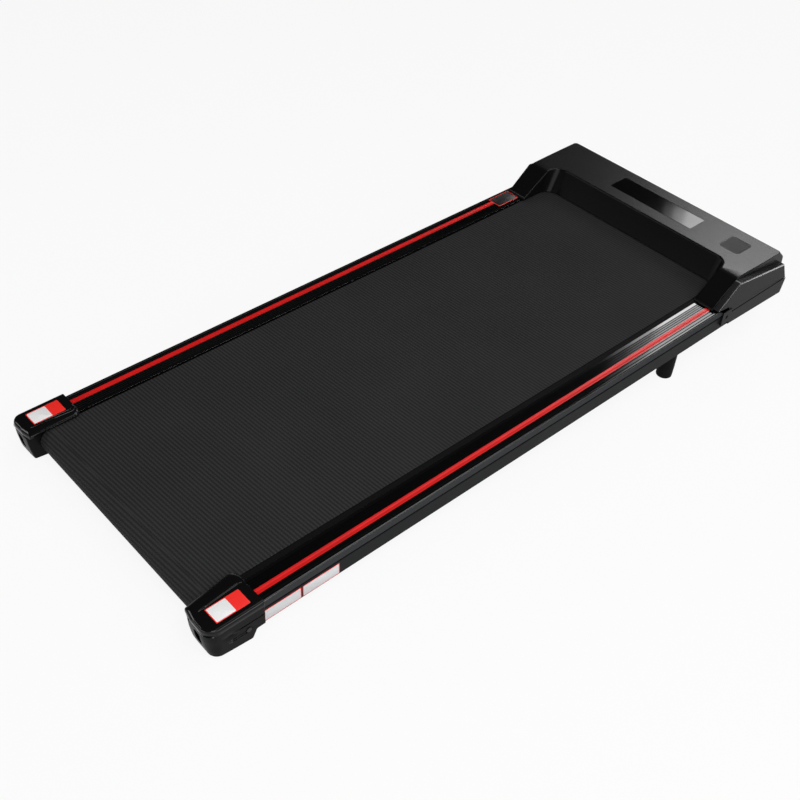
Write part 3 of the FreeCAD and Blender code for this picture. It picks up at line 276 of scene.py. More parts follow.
def fit(piece, material, body, slot, *nodes):
    """Gives a piece its finish, the body that carries it and the CAD nodes that it stands for. The slot is not
    used.
    """
    piece.data.materials.clear()
    piece.data.materials.append(material)
    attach(piece, body)
    if nodes:
        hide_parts(*nodes)
    return piece


def rounded(path, radii, steps=5, closed=True):
    """Straight runs with round corners. A corner p between unit directions a and b, with tangent length
    d = r / tan(half angle), becomes the conic ((1-t)^2 s + 2 w t (1-t) p + t^2 e) over its weights, which is
    a circle's arc for w = sin(half angle). A point a little before and after each arc keeps the runs flat.
    Paths may be stacked, with or without radii of their own: the last two axes are corner and part."""
    p = np.asarray(path, float)
    a = np.roll(p, 1, -2) - p
    b = np.roll(p, -1, -2) - p
    reach_a = np.linalg.norm(a, axis=-1, keepdims=True)
    reach_b = np.linalg.norm(b, axis=-1, keepdims=True)
    a = a / reach_a
    b = b / reach_b
    half = np.arccos(np.clip((a * b).sum(-1, keepdims=True), -1, 1)) / 2
    tangent = np.asarray(radii, float)[..., None] / np.tan(half)
    d = np.minimum(tangent, 0.49 * np.minimum(reach_a, reach_b))
    start, corner, end = [q[..., None, :] for q in (p + a * d, p, p + b * d)]
    t = np.linspace(0, 1, steps + 1)[:, None]
    w = 2 * np.sin(half)[..., None, :] * t * (1 - t)
    arcs = ((1 - t) ** 2 * start + w * corner + t ** 2 * end) / ((1 - t) ** 2 + w + t ** 2)
    hold = np.minimum(0.0006, 0.01 * np.minimum(reach_a, reach_b))
    arcs = np.concatenate([start + (a * hold)[..., None, :], arcs, end + (b * hold)[..., None, :]], -2)
    if not closed:
        arcs = arcs[..., 1:-1, :, :]
    arcs = arcs.reshape(*p.shape[:-2], -1, p.shape[-1])
    return arcs if closed else np.concatenate([p[..., :1, :], arcs, p[..., -1:, :]], -2)


def belt_surface():
    """A flat rounded section carried round a stadium: two straight runs and two half circles."""
    inner_radius, thickness, edge = 0.0193, 0.0016, 0.0005
    right, width = -0.1945, 0.398
    centre_radius = inner_radius + thickness / 2
    straight = np.linspace(0, roller_pitch, 80, endpoint=False)
    turn = np.linspace(0, np.pi, 28, endpoint=False)
    x = np.concatenate([straight, roller_pitch + 0 * turn, roller_pitch - straight, 0 * turn])
    angle = np.concatenate([0 * straight, turn, np.pi + 0 * straight, np.pi + turn])
    run = np.concatenate([straight, roller_pitch + centre_radius * turn,
                          roller_pitch + centre_radius * np.pi + straight,
                          2 * roller_pitch + centre_radius * (np.pi + turn)])
    lap = 2 * roller_pitch + 2 * np.pi * centre_radius
    section = rounded([(right, thickness / 2), (right, -thickness / 2), (right + width, -thickness / 2),
                       (right + width, thickness / 2)], [edge] * 4, 3)
    radius = centre_radius + section[None, :, 1]
    grid = np.stack(np.broadcast_arrays(
        rear_roller_from_tip + x[:, None] + radius * np.sin(angle)[:, None],
        section[None, :, 0],
        -roller_depth + radius * np.cos(angle)[:, None]), -1)
    runs = np.append(run, lap)
    across = np.append(section[:, 0], section[0, 0])
    uv = np.stack(np.broadcast_arrays(runs[:, None], across[None, :]), -1)
    return surface("walking_belt_cover", grid, True, True, uv=uv)


def belt_face():
    """Ribs across the belt every 5.6 mm over short grains of 2.4 mm, on the belt's own measured UV."""
    valley_shade, crest = (0.0092, 0.0092, 0.0094), (0.0280, 0.0280, 0.0284)
    material, at = finish("belt_face", crest, 0.62, Specular_IOR_Level=0.03)
    measured = at.node("UVMap", {"uv_map": "measured"}, {})
    run, across = measured.axes()[:2]
    sway = measured.noise(9.0) * 0.5
    rib_turns, rib_lean, grain_turns = 2 * math.pi / 0.0056, 0.06, 2 * math.pi / 0.0024
    rib_wave = run.math("SINE", (run + across * rib_lean) * rib_turns + sway)
    grain = run.math("SINE", run * grain_turns) * run.math("SINE", across * grain_turns)
    cloud = measured.noise(7.0, 3.0)
    speck = measured.noise(900.0)
    # painted shade: the colour darkens between the ribs and grains, where their bump dips; specks and cloud
    # vary it at random
    shade_and_speck = rib_wave * 0.32 + grain * 0.18 + speck * 0.35 + 0.36
    return feed(material, Base_Color=(shade_and_speck * 0.8 + cloud * 0.25).ramp(0.0, 1.1).colours(valley_shade, crest),
                Roughness=cloud * 0.15 + 0.52, Normal=relief(rib_wave * 0.5 + grain * 0.5 + speck, 0.00012))


fit(belt_surface(), belt_face(), "frame", "belt_weave", "walking_belt")

# Drive: a motor can in a strapped cradle on the left of the tray, its fan, and the controller with its
# finned heatsink and capacitors on the right. All of it is shut inside the hood.


def lacquer(name, colour, roughness, grain):
    """A sprayed or moulded skin with fine grain and a slow change of gloss."""
    material, at = finish(name, colour, roughness)
    cloud = at.noise(30.0, 3.0)
    return feed(material, Base_Color=cloud.colours(shade(colour, 0.75), shade(colour, 1.2)),
                Roughness=cloud * 0.15 + (roughness - 0.07), Normal=relief(at.noise(grain), 0.00003, 0.0006))


moulded_black = lacquer("moulded_black", (0.016, 0.016, 0.017), 0.5, 1400.0)
circuit = lacquer("circuit_lacquer", (0.02, 0.10, 0.045), 0.35, 500.0)
dress(lacquer("motor_lacquer", (0.07, 0.07, 0.08), 0.4, 700.0), "motor_body")
dress(circuit, "controller_board", "display_board")
dress(bright_steel("extruded_fins", (0.62, 0.62, 0.64), 0.35, 4000.0), "controller_heatsink")
dress(lacquer("capacitor_sleeve", (0.02, 0.03, 0.08), 0.3, 300.0), "controller_capacitors")
dress(moulded_black, "motor_fan", "board_standoffs", "speaker", "power_inlet", "power_switch_housing")
dress(bright_steel("contact_brass", (0.72, 0.55, 0.28), 0.25, 3000.0), "inlet_pins")

# Hood cover: one moulding round the motor bay. Two arms slope down onto the rails on either side of the toe
# bay, whose front wall leans back. The flat top shines under a clear coat and has a brow over the front; the
# slopes and the bay get a darker colour as painted shade.

hood_foot = 1.031
hood_top = 0.0425
bay_half = 0.200
hood_half = 0.240
bay_wall_top = 1.118
bay_rake = 0.020
bay_round = 0.025


def hood_rise(x):
    """Height of the hood's top: a blunt toe, the arms' slope, then flat, joined by a soft minimum."""
    toe_edge, toe_height, toe_length = 0.0008, 0.0032, 0.0016
    arm_rise, arm_run, softness = 0.0385, 0.061, 0.0016
    toe = toe_edge + toe_height * np.clip((x - hood_foot) / toe_length, 0, 1) ** 0.5
    slope = toe + (x - hood_foot) * arm_rise / arm_run
    gap = np.clip(np.abs(slope - hood_top) / softness, 0, 3)
    return np.minimum(slope, hood_top) - softness * 0.25 * np.exp(-gap ** 2)


def hood_shell():
    """Profiles from the bay's foot, up its wall, over the rim, across the top and down outside, carried along
    the bay's outline from the right arm's toe to the left one's. Inner and outer outlines are matched in
    three stretches: arm, corner and front."""
    rear_edge, front_edge, bottom = 1.214, 1.236, -0.0148
    brow_x, brow_z, brow_share = 1.231, 0.0265, 0.62
    edge_round, bay_foot = 0.006, 0.0005
    profile_radii = [0, 0.0036, 0.0032, 0.006, 0]
    arm = np.concatenate([[0, 0.006, 0.02, 0.05], np.linspace(0.12, 0.82, 8), np.linspace(0.86, 1, 6)])
    turn = np.linspace(0, 1, 19)[1:-1]
    front = np.linspace(-1, 1, 13)

    def inner(wall):
        start = wall - bay_round
        angle = turn * np.pi / 2
        x = np.concatenate([hood_foot + arm * (start - hood_foot), start + bay_round * np.sin(angle),
                            wall + 0 * front])
        y = np.concatenate([-bay_half + 0 * arm, -bay_half + bay_round * (1 - np.cos(angle)),
                            front * (bay_half - bay_round)])
        return x, y

    def outer(end):
        start = bay_wall_top - bay_round
        bend = rounded([(start, -hood_half), (end, -hood_half), (end, -bay_half + bay_round)],
                       [0, edge_round, 0], 6, closed=False)
        first = np.linspace(bend[0], bend[1], 7)[1:-1]
        last = np.linspace(bend[-2], bend[-1], 5)[1:-1]
        corner = np.concatenate([first, bend[1:-1], last])
        x = np.concatenate([hood_foot + arm * (start - hood_foot), corner[:, 0], end + 0 * front])
        y = np.concatenate([-hood_half + 0 * arm, corner[:, 1], front * (bay_half - bay_round)])
        return x, y

    def whole(x, y):
        tail = slice(-len(front) - 1, None, -1)
        return np.concatenate([x, x[tail]]), np.concatenate([y, -y[tail]])

    low_x, low_y = whole(*inner(bay_wall_top - bay_rake))
    rim_x, rim_y = whole(*inner(bay_wall_top))
    top_x, top_y = whole(*outer(rear_edge))
    brow_outline = whole(*outer(brow_x))
    end_x, end_y = whole(*outer(front_edge))
    rim_z, top_z = hood_rise(rim_x), hood_rise(top_x)
    mid_z = np.minimum(brow_z, top_z * brow_share)
    low_z = bay_foot + 0 * low_x
    profiles = np.stack([np.stack(part, -1) for part in (
        (low_x, low_y, low_z), (rim_x, rim_y, rim_z), (top_x, top_y, top_z),
        (*brow_outline, mid_z), (end_x, end_y, bottom + 0 * end_x))], 1)
    return surface("hood_cover_shell", rounded(profiles, profile_radii, 6, closed=False))


def settle(piece):
    """Applies a piece's modifiers to its mesh."""
    graph = bpy.context.evaluated_depsgraph_get()
    mesh = bpy.data.meshes.new_from_object(piece.evaluated_get(graph))
    piece.modifiers.clear()
    piece.data = mesh
    return piece


def pocket(piece, *cutters):
    """Cuts closed meshes out of a piece and removes them."""
    for cutter in cutters:
        cut = piece.modifiers.new("pocket", "BOOLEAN")
        cut.operation = "DIFFERENCE"
        cut.solver = "EXACT"
        cut.object = cutter
    settle(piece)
    for cutter in cutters:
        bpy.data.objects.remove(cutter)
    piece.data.set_sharp_from_angle(angle=math.radians(32.0))
    return piece


def slab(name, outline, levels):
    """An (x, y) outline carried through (z, inset) levels, closed at both ends. An inset moves each point
    inwards, square to the outline."""
    flat = np.asarray(outline)
    edge = np.roll(flat, -1, 0) - np.roll(flat, 1, 0)
    inward = np.stack([-edge[:, 1], edge[:, 0]], -1) / np.linalg.norm(edge, axis=1, keepdims=True)
    rows = [np.column_stack([flat + inward * inset, np.full(len(flat), z)]) for z, inset in levels]
    return surface(name, np.stack(rows), False, True, ends=True)


lens_low, lens_high = (1.145, -0.094), (1.189, 0.091)
grille_low, grille_high = (1.145, -0.1975), (1.189, -0.1565)
lens_round, grille_round = 0.0015, 0.007
pocket_depth, pocket_gap, overcut = 0.0012, 0.0003, 0.004


def plan(low, high, radius, grow=0.0):
    """A round-cornered rectangle between two corners, counter-clockwise from above."""
    (x0, y0), (x1, y1) = low, high
    corners = [(x0 - grow, y0 - grow), (x1 + grow, y0 - grow), (x1 + grow, y1 + grow), (x0 - grow, y1 + grow)]
    return rounded(corners, [radius + grow] * 4)


def satin_charcoal():
    """Satin under a clear coat where it faces up; painted shade darkens the slopes and the bay."""
    colour = (0.006, 0.006, 0.0062)
    material, at = finish("hood_satin", colour, 0.36, Specular_IOR_Level=0.08,
                          Coat_Roughness=0.27, Coat_IOR=1.264)
    spark = at.noise(2600.0)
    cloud = at.noise(10.0, 4.0)
    lift = at.lift()
    level = lift.ramp(0.80, 0.97)
    rough = cloud * 0.04 + level * 0.10 + 0.15
    # painted shade: every face that isn't level gets the near-black colour, so slopes, bay and sides come out
    # darker than the top
    return feed(material, Base_Color=level.colours((0.003, 0.003, 0.0031), colour), Roughness=rough,
                Coat_Weight=level, Normal=relief(spark, 0.000012))


hood = hood_shell()
wall = hood.modifiers.new("wall", "SOLIDIFY")
wall.thickness = 0.0024
wall.offset = -1.0
settle(hood)
cut_levels = [(hood_top - pocket_depth, 0.0), (hood_top + overcut, 0.0)]
pocket(hood, slab("lens_cut", plan(lens_low, lens_high, lens_round, pocket_gap), cut_levels),
       slab("grille_cut", plan(grille_low, grille_high, grille_round, pocket_gap), cut_levels))
fit(hood, satin_charcoal(), "frame", "hood_charcoal", "hood_cover")

# Display lens and speaker grille: a polished dark acrylic strip over the display, and a fine punched plate
# over the speaker, both set flush in the hood's top.


def dark_acrylic():
    """Polished, nearly black, with the faintest haze."""
    material, at = finish("dark_acrylic", (0.001, 0.001, 0.0011), 0.12, IOR=1.49)
    haze = at.noise(25.0, 4.0)
    return feed(material, Roughness=haze * 0.03 + 0.05)


def punched_plate():
    """A grid of square cells, each with a round hole: every cell is a ring of eight quads from its square to
    the circle, and eight more down the hole's wall."""
    pitch, hole, depth, sunk = 0.0021, 0.00078, 0.0009, 0.0002
    count_x, count_y = 19, 17
    angle = np.arange(8) * np.pi / 4
    circle = np.stack([np.cos(angle), np.sin(angle)], -1)
    square = np.sign(np.round(circle, 6)) * pitch / 2
    ring = np.stack([np.column_stack([square, 0 * angle]), np.column_stack([circle * hole, 0 * angle]),
                     np.column_stack([circle * hole, 0 * angle - depth])])
    middle = np.array([(a + b) / 2 for a, b in zip(grille_low, grille_high)])
    ix, iy = np.mgrid[0:count_x, 0:count_y]
    shift = np.stack([middle[0] + (ix - (count_x - 1) / 2) * pitch,
                      middle[1] + (iy - (count_y - 1) / 2) * pitch,
                      0 * ix + hood_top - sunk], -1).reshape(-1, 1, 1, 3)
    points = (ring[None] + shift).reshape(-1, 3)
    row, k = np.mgrid[0:2, 0:8]
    one = np.stack([row * 8 + k, row * 8 + (k + 1) % 8, (row + 1) * 8 + (k + 1) % 8, (row + 1) * 8 + k], -1)
    quads = (one.reshape(1, -1, 4) + 24 * np.arange(len(shift)).reshape(-1, 1, 1)).reshape(-1, 4)
    mesh = bpy.data.meshes.new("grille_field")
    mesh.from_pydata(place(points).tolist(), [], quads.tolist())
    return finished("grille_field", mesh, 40.0)


lens_levels = [(hood_top - pocket_depth, 0), (hood_top - 0.0004, 0), (hood_top - 0.0001, 0.0001),
               (hood_top, 0.0005), (hood_top, 0.0009)]
lens = slab("display_lens_plate", plan(lens_low, lens_high, lens_round), lens_levels)
fit(lens, dark_acrylic(), "frame", "lens_black", "display_lens")
grille_finish = lacquer("grille_lacquer", (0.024, 0.024, 0.024), 0.42, 1800.0)
fit(punched_plate(), grille_finish, "frame", "grille_grey", "speaker_grille")
rim_round, rim_width = 0.005, 0.0024
rim_outer = plan(grille_low, grille_high, grille_round)
rim_inner = plan(grille_low, grille_high, rim_round, -rim_width)
rim_rows = [(rim_outer, -pocket_depth), (rim_outer, -0.0003), (rim_outer * 0.98 + rim_inner * 0.02, 0.0),
            (rim_outer * 0.3 + rim_inner * 0.7, 0.0), (rim_inner, -0.0004), (rim_inner, -pocket_depth)]
rim_grid = np.stack([np.column_stack([flat, np.full(len(flat), hood_top + z)]) for flat, z in rim_rows])
fit(surface("grille_rim", rim_grid, True, True), grille_finish, "frame", "grille_grey")

# Side covers, belly pan and clips: shallow dished covers over the hood's flanks, chamfered all round, above
# the tray-like belly pan. A clip on each side holds cover and pan to the rail's end.


def flank_cover(name, side):
    """The cover's (x, z) outline with round corners, carried outwards and drawn in over a soft chamfer. The
    left one blends to a lower outline on the way, so its upper edges fall away from the hood's arm."""
    corners = [(1.0330, 0.0022), (1.082, 0.0410), (1.218, 0.0212), (1.2358, -0.0147), (1.0616, -0.0147),
               (1.0616, -0.0008)]
    radii = [0.0012, 0.004, 0.004, 0.002, 0.001, 0.002]
    fallen = [(1.0570, -0.0010), (1.0900, 0.0225), (1.218, 0.0110)] + corners[3:5] + [(1.0616, -0.0030)]
    outline = rounded(corners, radii)
    outer = rounded(fallen, radii) if side > 0 else outline
    edge = np.roll(outline, -1, 0) - np.roll(outline, 1, 0)
    inward = np.stack([edge[:, 1], -edge[:, 0]], -1) / np.linalg.norm(edge, axis=1, keepdims=True)
    levels = [(0.2403, 0), (0.2498, 0), (0.2501, 0.0001), (0.2518, 0.0018), (0.252, 0.0021),
              (0.252, 0.0026)]
    rows = []
    for y, inset in levels:
        share = (y - levels[0][0]) / (levels[-1][0] - levels[0][0])
        flat = outline + (outer - outline) * share + inward * inset
        rows.append(np.column_stack([flat[:, 0], np.full(len(flat), side * y), flat[:, 1]]))
    return surface(name, np.stack(rows), False, True, ends=True, sharp=24.0)


def satin_flank(name, colour, roughness):
    """Satin moulding with a fine spark grain and a slow change of gloss. Its upper chamfers shine."""
    material, at = finish(name, colour, roughness, Specular_IOR_Level=0.04,
                          Coat_Roughness=0.18, Coat_IOR=1.5)
    cloud = at.noise(16.0, 4.0)
    lift = at.lift()
    return feed(material, Base_Color=cloud.colours(shade(colour, 0.85), shade(colour, 1.15)),
                Roughness=cloud * 0.1 + (roughness - 0.05), Coat_Weight=lift.ramp(0.12, 0.35),
                Normal=relief(at.noise(2200.0), 0.000015, 0.0004))


flank = satin_flank("flank_satin", (0.0101, 0.0101, 0.0104), 0.34)
for side_name, side in (("left", 1), ("right", -1)):
    fit(flank_cover(side_name + "_flank_cover", side), flank, "frame", "hood_flank",
        side_name + "_side_cover")
dress(flank, "belly_pan", "side_clips")

# Power rocker: a dished red rocker in the switch's frame, beside the inlet in the belly pan's front wall.
# It is moulded in translucent plastic.

dress(lacquer("rocker_red", (0.45, 0.015, 0.015), 0.25, 300.0), "power_rocker")

# Foot rails: black extrusions with fine lengthwise grooves on top, a round outer edge and a plain skirt over
# the side member. A red inlay strip, thinner along its middle, lies in a channel near the outer edge.

rail_start, rail_end = 0.066, 1.061
rail_inner_y, rail_outer_y = 0.206, 0.250
stripe_low, stripe_high = 0.2270, 0.2364


def rail_extrusion(name, side):
    """A closed (y, z) section carried along the deck: flats with narrow grooves between them, the inlay's
    channel, a round shoulder, the skirt and the underside."""
    groove_width, groove_depth, channel_depth = 0.0022, 0.0012, 0.0006
    plate, skirt, skirt_wall = 0.0025, 0.0127, 0.0024
    shoulder, inner_edge, arc_steps = 0.0028, 0.00015, 6
    inner_grooves = np.linspace(0.2126, 0.2246, 4)
    outer_grooves = np.linspace(0.2388, 0.2444, 2)

    def grooves(centres):
        y = centres[:, None] + groove_width * np.array([-0.5, -0.25, 0.25, 0.5])
        z = 0 * y - groove_depth * np.array([0, 1, 1, 0])
        return np.stack([y, z], -1).reshape(-1, 2)

    channel = [(stripe_low, 0), (stripe_low, -channel_depth), (stripe_high, -channel_depth), (stripe_high, 0)]
    wall_y = rail_outer_y - skirt_wall
    under = rounded([(rail_inner_y, 0), (rail_outer_y, 0), (rail_outer_y, -skirt), (wall_y, -skirt),
                     (wall_y, -plate), (rail_inner_y, -plate)],
                    [inner_edge, shoulder, 0.0006, 0.0006, 0.001, 0.0005], arc_steps)
    first_arc = arc_steps + 3
    section = np.concatenate([under[:first_arc], grooves(inner_grooves), channel, grooves(outer_grooves),
                              under[first_arc:]])
    x = np.linspace(rail_start, rail_end, 12)
    grid = np.stack(np.broadcast_arrays(x[:, None], side * section[None, :, 0], section[None, :, 1]), -1)
    return surface(name, grid, False, True, ends=True)


def stripe_inlay(name, side):
    """A (y, z) section with a shallow groove along its middle, carried from cap to hood."""
    side_gap, proud, dent, dent_width, base_z = 0.0001, 0.0001, 0.00035, 0.16, -0.0005
    start, end = 0.0905, hood_foot + 0.0003
    y = np.linspace(stripe_low + side_gap, stripe_high - side_gap, 31)
    share = (y - y[0]) / (y[-1] - y[0])
    z = proud - dent * np.exp(-((share - 0.5) / dent_width) ** 2)
    section = np.concatenate([np.column_stack([y, z]), [(y[-1], base_z), (y[0], base_z)]])
    x = np.linspace(start, end, 8)
    grid = np.stack(np.broadcast_arrays(x[:, None], side * section[None, :, 0], section[None, :, 1]), -1)
    return surface(name, grid, False, True, ends=True, sharp=50.0)


def black_extrusion():
    """Black under a bright clear coat on top, weaker between grooves; painted light greys the outer side."""
    black, grey = (0.0012, 0.0012, 0.0013), (0.0300, 0.0315, 0.0330)
    material, at = finish("rail_black", black, 0.5, Specular_IOR_Level=0.01,
                          Coat_Roughness=0.072, Coat_IOR=1.75)
    cloud = at.noise(8.0, 4.0)
    across = at.axes()[1]
    from_middle = across.math("ABSOLUTE", across)
    grooved = from_middle.ramp(0.2108, 0.2114)
    outside = from_middle.ramp(0.2430, 0.2450)
    lift = at.lift()
    top = lift.ramp(0.1, 0.7)
    # painted light: the outer skirt is dark grey to stand for the light falling on that side; the extrusion
    # itself is black
    return feed(material, Base_Color=((1 - top) * outside).colours(black, grey),
                Roughness=cloud * 0.15 + 0.42, Coat_Weight=top * (1 - grooved * 0.5))


def red_inlay():
    """Semi-gloss red with a slightly darker, drier patch here and there."""
    bright, deep = (0.50, 0.008, 0.008), (0.40, 0.006, 0.006)
    material, at = finish("red_inlay", bright, 0.32, Specular_IOR_Level=0.35)
    cloud = at.noise(22.0, 4.0)
    return feed(material, Base_Color=cloud.ramp(0.35, 0.75).colours(bright, deep),
                Roughness=cloud * 0.15 + 0.25)


rail_finish, stripe_finish = black_extrusion(), red_inlay()
for side_name, side in (("left", 1), ("right", -1)):
    fit(rail_extrusion(side_name + "_ribbed_rail", side), rail_finish, "frame", "rail_black",
        side_name + "_foot_rail")
    fit(stripe_inlay(side_name + "_red_inlay", side), stripe_finish, "frame", "stripe_red",
        side_name + "_rail_stripe")

# Rear caps: gloss black mouldings over the ends of rail and side member. A lip rises from the belt's edge to
# a ridge, beside a sunk panel; the side has two long grooves, and the rear a slot for the tension key.


def cap_moulding(name, side):
    """Outlines stacked from a flat sole, up the rear and the side, to the lid. Lid levels hold two heights:
    along the inner side they rise to a ridge, dip and reach the panel, and elsewhere they round over to it."""
    side_z = np.array([-0.0366, -0.0356, -0.0350, -0.0342, -0.0336, -0.0316, -0.0310, -0.0302, -0.0296,
                       -0.0206, -0.0200, -0.0188, -0.0182, -0.0110, -0.0060, -0.0046])
    groove_z = (-0.0350, -0.0342, -0.0310, -0.0302, -0.0200, -0.0188)
    sole_z = np.linspace(-0.054, -0.0385, 12)
    body_z = np.concatenate([sole_z, side_z])
    lean_z = [-0.054, -0.046, -0.040, -0.030, -0.018, -0.0046]
    lean_x = [0.0120, 0.0098, 0.0084, 0.0066, 0.0050, 0.0042]
    cheek_y, elbow_y, side_y, front_x = 0.2054, 0.2175, 0.2534, 0.0910
    foot_round, lid_round = 0.012, 0.022
    cheek_round, front_round, outer_round, elbow_round = 0.003, 0.009, 0.0015, 0.012
    tip_reach, cheek_back, elbow_back, elbow_rear, elbow_in = 0.0006, 0.0012, 0.0005, 0.0008, 0.0180
    ridge_width, ridge_start, ridge_ease = 0.014, 0.003, 0.014
    groove_depth, groove_start, groove_ease, groove_end, end_ease = 0.0026, 0.034, 0.020, 0.066, 0.008
    low_grooves, open_end, face_y = -0.025, 0.2, 0.2530
    lid = np.array([
        # z along the inner side, z elsewhere, rear, front, inner at the front, inner at the rear, outer
        (-0.0006, -0.0042, 0.0044, 0.0910, 0.2054, 0.2054, 0.2540),
        (-0.0004, -0.0036, 0.0043, 0.0910, 0.1970, 0.1990, 0.2540),
        (-0.0004, -0.0030, 0.0042, 0.0910, 0.1857, 0.1957, 0.2540),
        (0.0004, -0.0010, 0.0042, 0.0910, 0.1857, 0.1957, 0.2540),
        (0.0018, 0.0010, 0.0044, 0.0910, 0.1858, 0.1959, 0.2538),
        (0.0030, 0.0024, 0.0049, 0.0910, 0.1892, 0.1982, 0.2532),
        (0.0042, 0.0036, 0.0058, 0.0909, 0.1930, 0.2015, 0.2524),
        (0.0051, 0.0045, 0.0070, 0.0907, 0.1985, 0.2055, 0.2514),
        (0.0057, 0.0050, 0.0086, 0.0904, 0.2035, 0.2097, 0.2500),
        (0.0061, 0.0052, 0.0104, 0.0900, 0.2065, 0.2125, 0.2484),
        (0.0056, 0.0052, 0.0108, 0.0898, 0.2079, 0.2139, 0.2480),
        (0.0048, 0.0052, 0.0112, 0.0896, 0.2084, 0.2144, 0.2476),
        (0.0044, 0.0052, 0.0117, 0.0894, 0.2094, 0.2153, 0.2472),
        (0.0045, 0.0052, 0.0123, 0.0891, 0.2130, 0.2178, 0.2466),
        (0.0051, 0.0052, 0.0127, 0.0889, 0.2137, 0.2184, 0.2462),
        (0.0052, 0.0052, 0.0132, 0.0886, 0.2150, 0.2194, 0.2456)])
    low, high, rear, front, inner_front, inner_rear, outer = lid.T
    ridge_y, lip_reach, left_shift = 0.2065, 0.0207, (0.0125, 0.0040)
    lip = np.clip((ridge_y - inner_front) / lip_reach, 0, 1) * (side > 0)
    inner_front = inner_front + left_shift[0] * lip
    inner_rear = inner_rear + left_shift[1] * lip
    below = np.ones(len(body_z))
    z_inner = np.concatenate([body_z, low])
    z_other = np.concatenate([body_z, high])
    lean = np.interp(body_z, lean_z, lean_x)
    setback = np.full(len(rear), 0.0046)
    setback[:2] = (0.0014, 0.0036)
    tip = np.concatenate([lean, rear - tip_reach])
    elbow = np.stack([np.concatenate([lean + elbow_back, rear + elbow_rear]),
                      np.concatenate([elbow_y * below, inner_rear + elbow_in])], -1)
    cheek = np.concatenate([lean + cheek_back, rear + setback])
    front = np.concatenate([front_x * below, front])
    inner_front = np.concatenate([cheek_y * below, inner_front])
    inner_rear = np.concatenate([cheek_y * below, inner_rear])
    outer = np.concatenate([side_y * below, outer])
    corners = np.stack([np.stack(pair, -1) for pair in (
        (cheek, inner_rear), (front, inner_front), (front, outer), (tip, outer))] + [elbow], 1)
    rear_round = np.interp(z_other, (body_z[0], body_z[-1]), (foot_round, lid_round))
    radii = np.stack(np.broadcast_arrays(cheek_round, front_round, outer_round, rear_round, elbow_round), -1)
    columns = spread(rounded(corners, radii, 9), 8)
    x, y = columns[..., 0], columns[..., 1]
    share = np.clip((x - tip[:, None]) / (front - tip)[:, None], 0, 1)
    inner_line = inner_rear[:, None] + (inner_front - inner_rear)[:, None] * share
    beside = np.clip(1 - (y - inner_line) / ridge_width, 0, 1)
    beside = beside * np.clip((x - tip[:, None] - ridge_start) / ridge_ease, 0, 1)
    beside = beside * beside * (3 - 2 * beside)
    height = z_other[:, None] + (z_inner - z_other)[:, None] * beside
    ends = np.where(height < low_grooves, groove_end, open_end)
    fade = np.clip((x - groove_start) / groove_ease, 0, 1) * np.clip((ends - x) / end_ease, 0, 1)
    pressed = np.isin(z_inner, groove_z)
    y = y - groove_depth * pressed[:, None] * fade * (y > face_y)
    grid = np.stack([x, side * y, height], -1)
    return surface(name, grid, False, True, ends=True, sharp=28.0)


def spread(outline, extra):
    """Divides every run of stacked closed outlines into that many even parts."""
    nearby = np.roll(outline, -1, 1)
    t = np.arange(extra) / extra
    return (outline[:, :, None] * (1 - t)[:, None] + nearby[:, :, None] * t[:, None]).reshape(
        len(outline), -1, 2)


def block_cut(name, x, y, z, radius):
    """A box with its lengthwise edges rounded, as a cutter: a (y, z) section carried along x."""
    section = rounded([(y[0], z[0]), (y[1], z[0]), (y[1], z[1]), (y[0], z[1])], [radius] * 4, 4)
    grid = np.stack([np.column_stack([np.full(len(section), px), section]) for px in x])
    return surface(name, grid, False, True, ends=True)


def cross_cut(name, outline, y):
    """A closed (x, z) outline carried across the pad, as a cutter."""
    grid = np.stack([np.column_stack([outline[:, 0], np.full(len(outline), py), outline[:, 1]]) for py in y])
    return surface(name, grid, False, True, ends=True)


def gloss_cap():
    """A clear coat on the lid, and satin on the upright sides below it, told apart by their height."""
    colour = (0.003, 0.003, 0.0031)
    material, at = finish("cap_gloss", colour, 0.12, Specular_IOR_Level=0.05,
                          Coat_Roughness=0.12, Coat_IOR=1.22)
    lift = at.lift()
    raised = at.node("VectorMath", {"operation": "DOT_PRODUCT"}, {0: at, 1: tuple(up)}, "Value")
    below_lid = 1 - (raised - float(deck_origin @ up)).ramp(-0.0048, -0.0042)
    upright = (1 - lift.ramp(0.15, 0.7)) * below_lid
    cloud = at.noise(20.0, 4.0)
    return feed(material, Base_Color=upright.colours(colour, (0.0038, 0.0039, 0.0041)),
                Roughness=upright * 0.24 + cloud * 0.06 + 0.09, Coat_Weight=1 - upright,
                Normal=relief(at.noise(1900.0) * upright, 0.000015, 0.0005))


def blank_patch(name, low, high, lay, thickness=0.00015):
    """A thin round-cornered plate with a soft edge, laid on a face: lay turns (u, v, height) to deck points."""
    corner_round, top_share, edge_share = 0.0014, 0.992, 0.7
    outline = plan(low, high, corner_round)
    middle = outline.mean(0)
    top = middle + (outline - middle) * top_share
    rows = [(outline, 0.0), (outline, thickness * edge_share), (top, thickness)]
    grid = np.stack([lay(flat[:, 0], flat[:, 1], h + 0 * flat[:, 0]) for flat, h in rows])
    return surface(name, grid, False, True, ends=True)


def print_film(name, colour, roughness):
    """Printed film: an even colour with a trace of mottle."""
    material, at = finish(name, colour, roughness)
    mottle = at.noise(120.0, 3.0)
    return feed(material, Base_Color=mottle.colours(shade(colour, 0.94), colour),
                Roughness=mottle * 0.1 + (roughness - 0.05))


def on_panel(side):
    """Lays a patch on that side's cap panel."""
    return lambda u, v, h: np.stack([u, side * v, panel_z + h], -1)


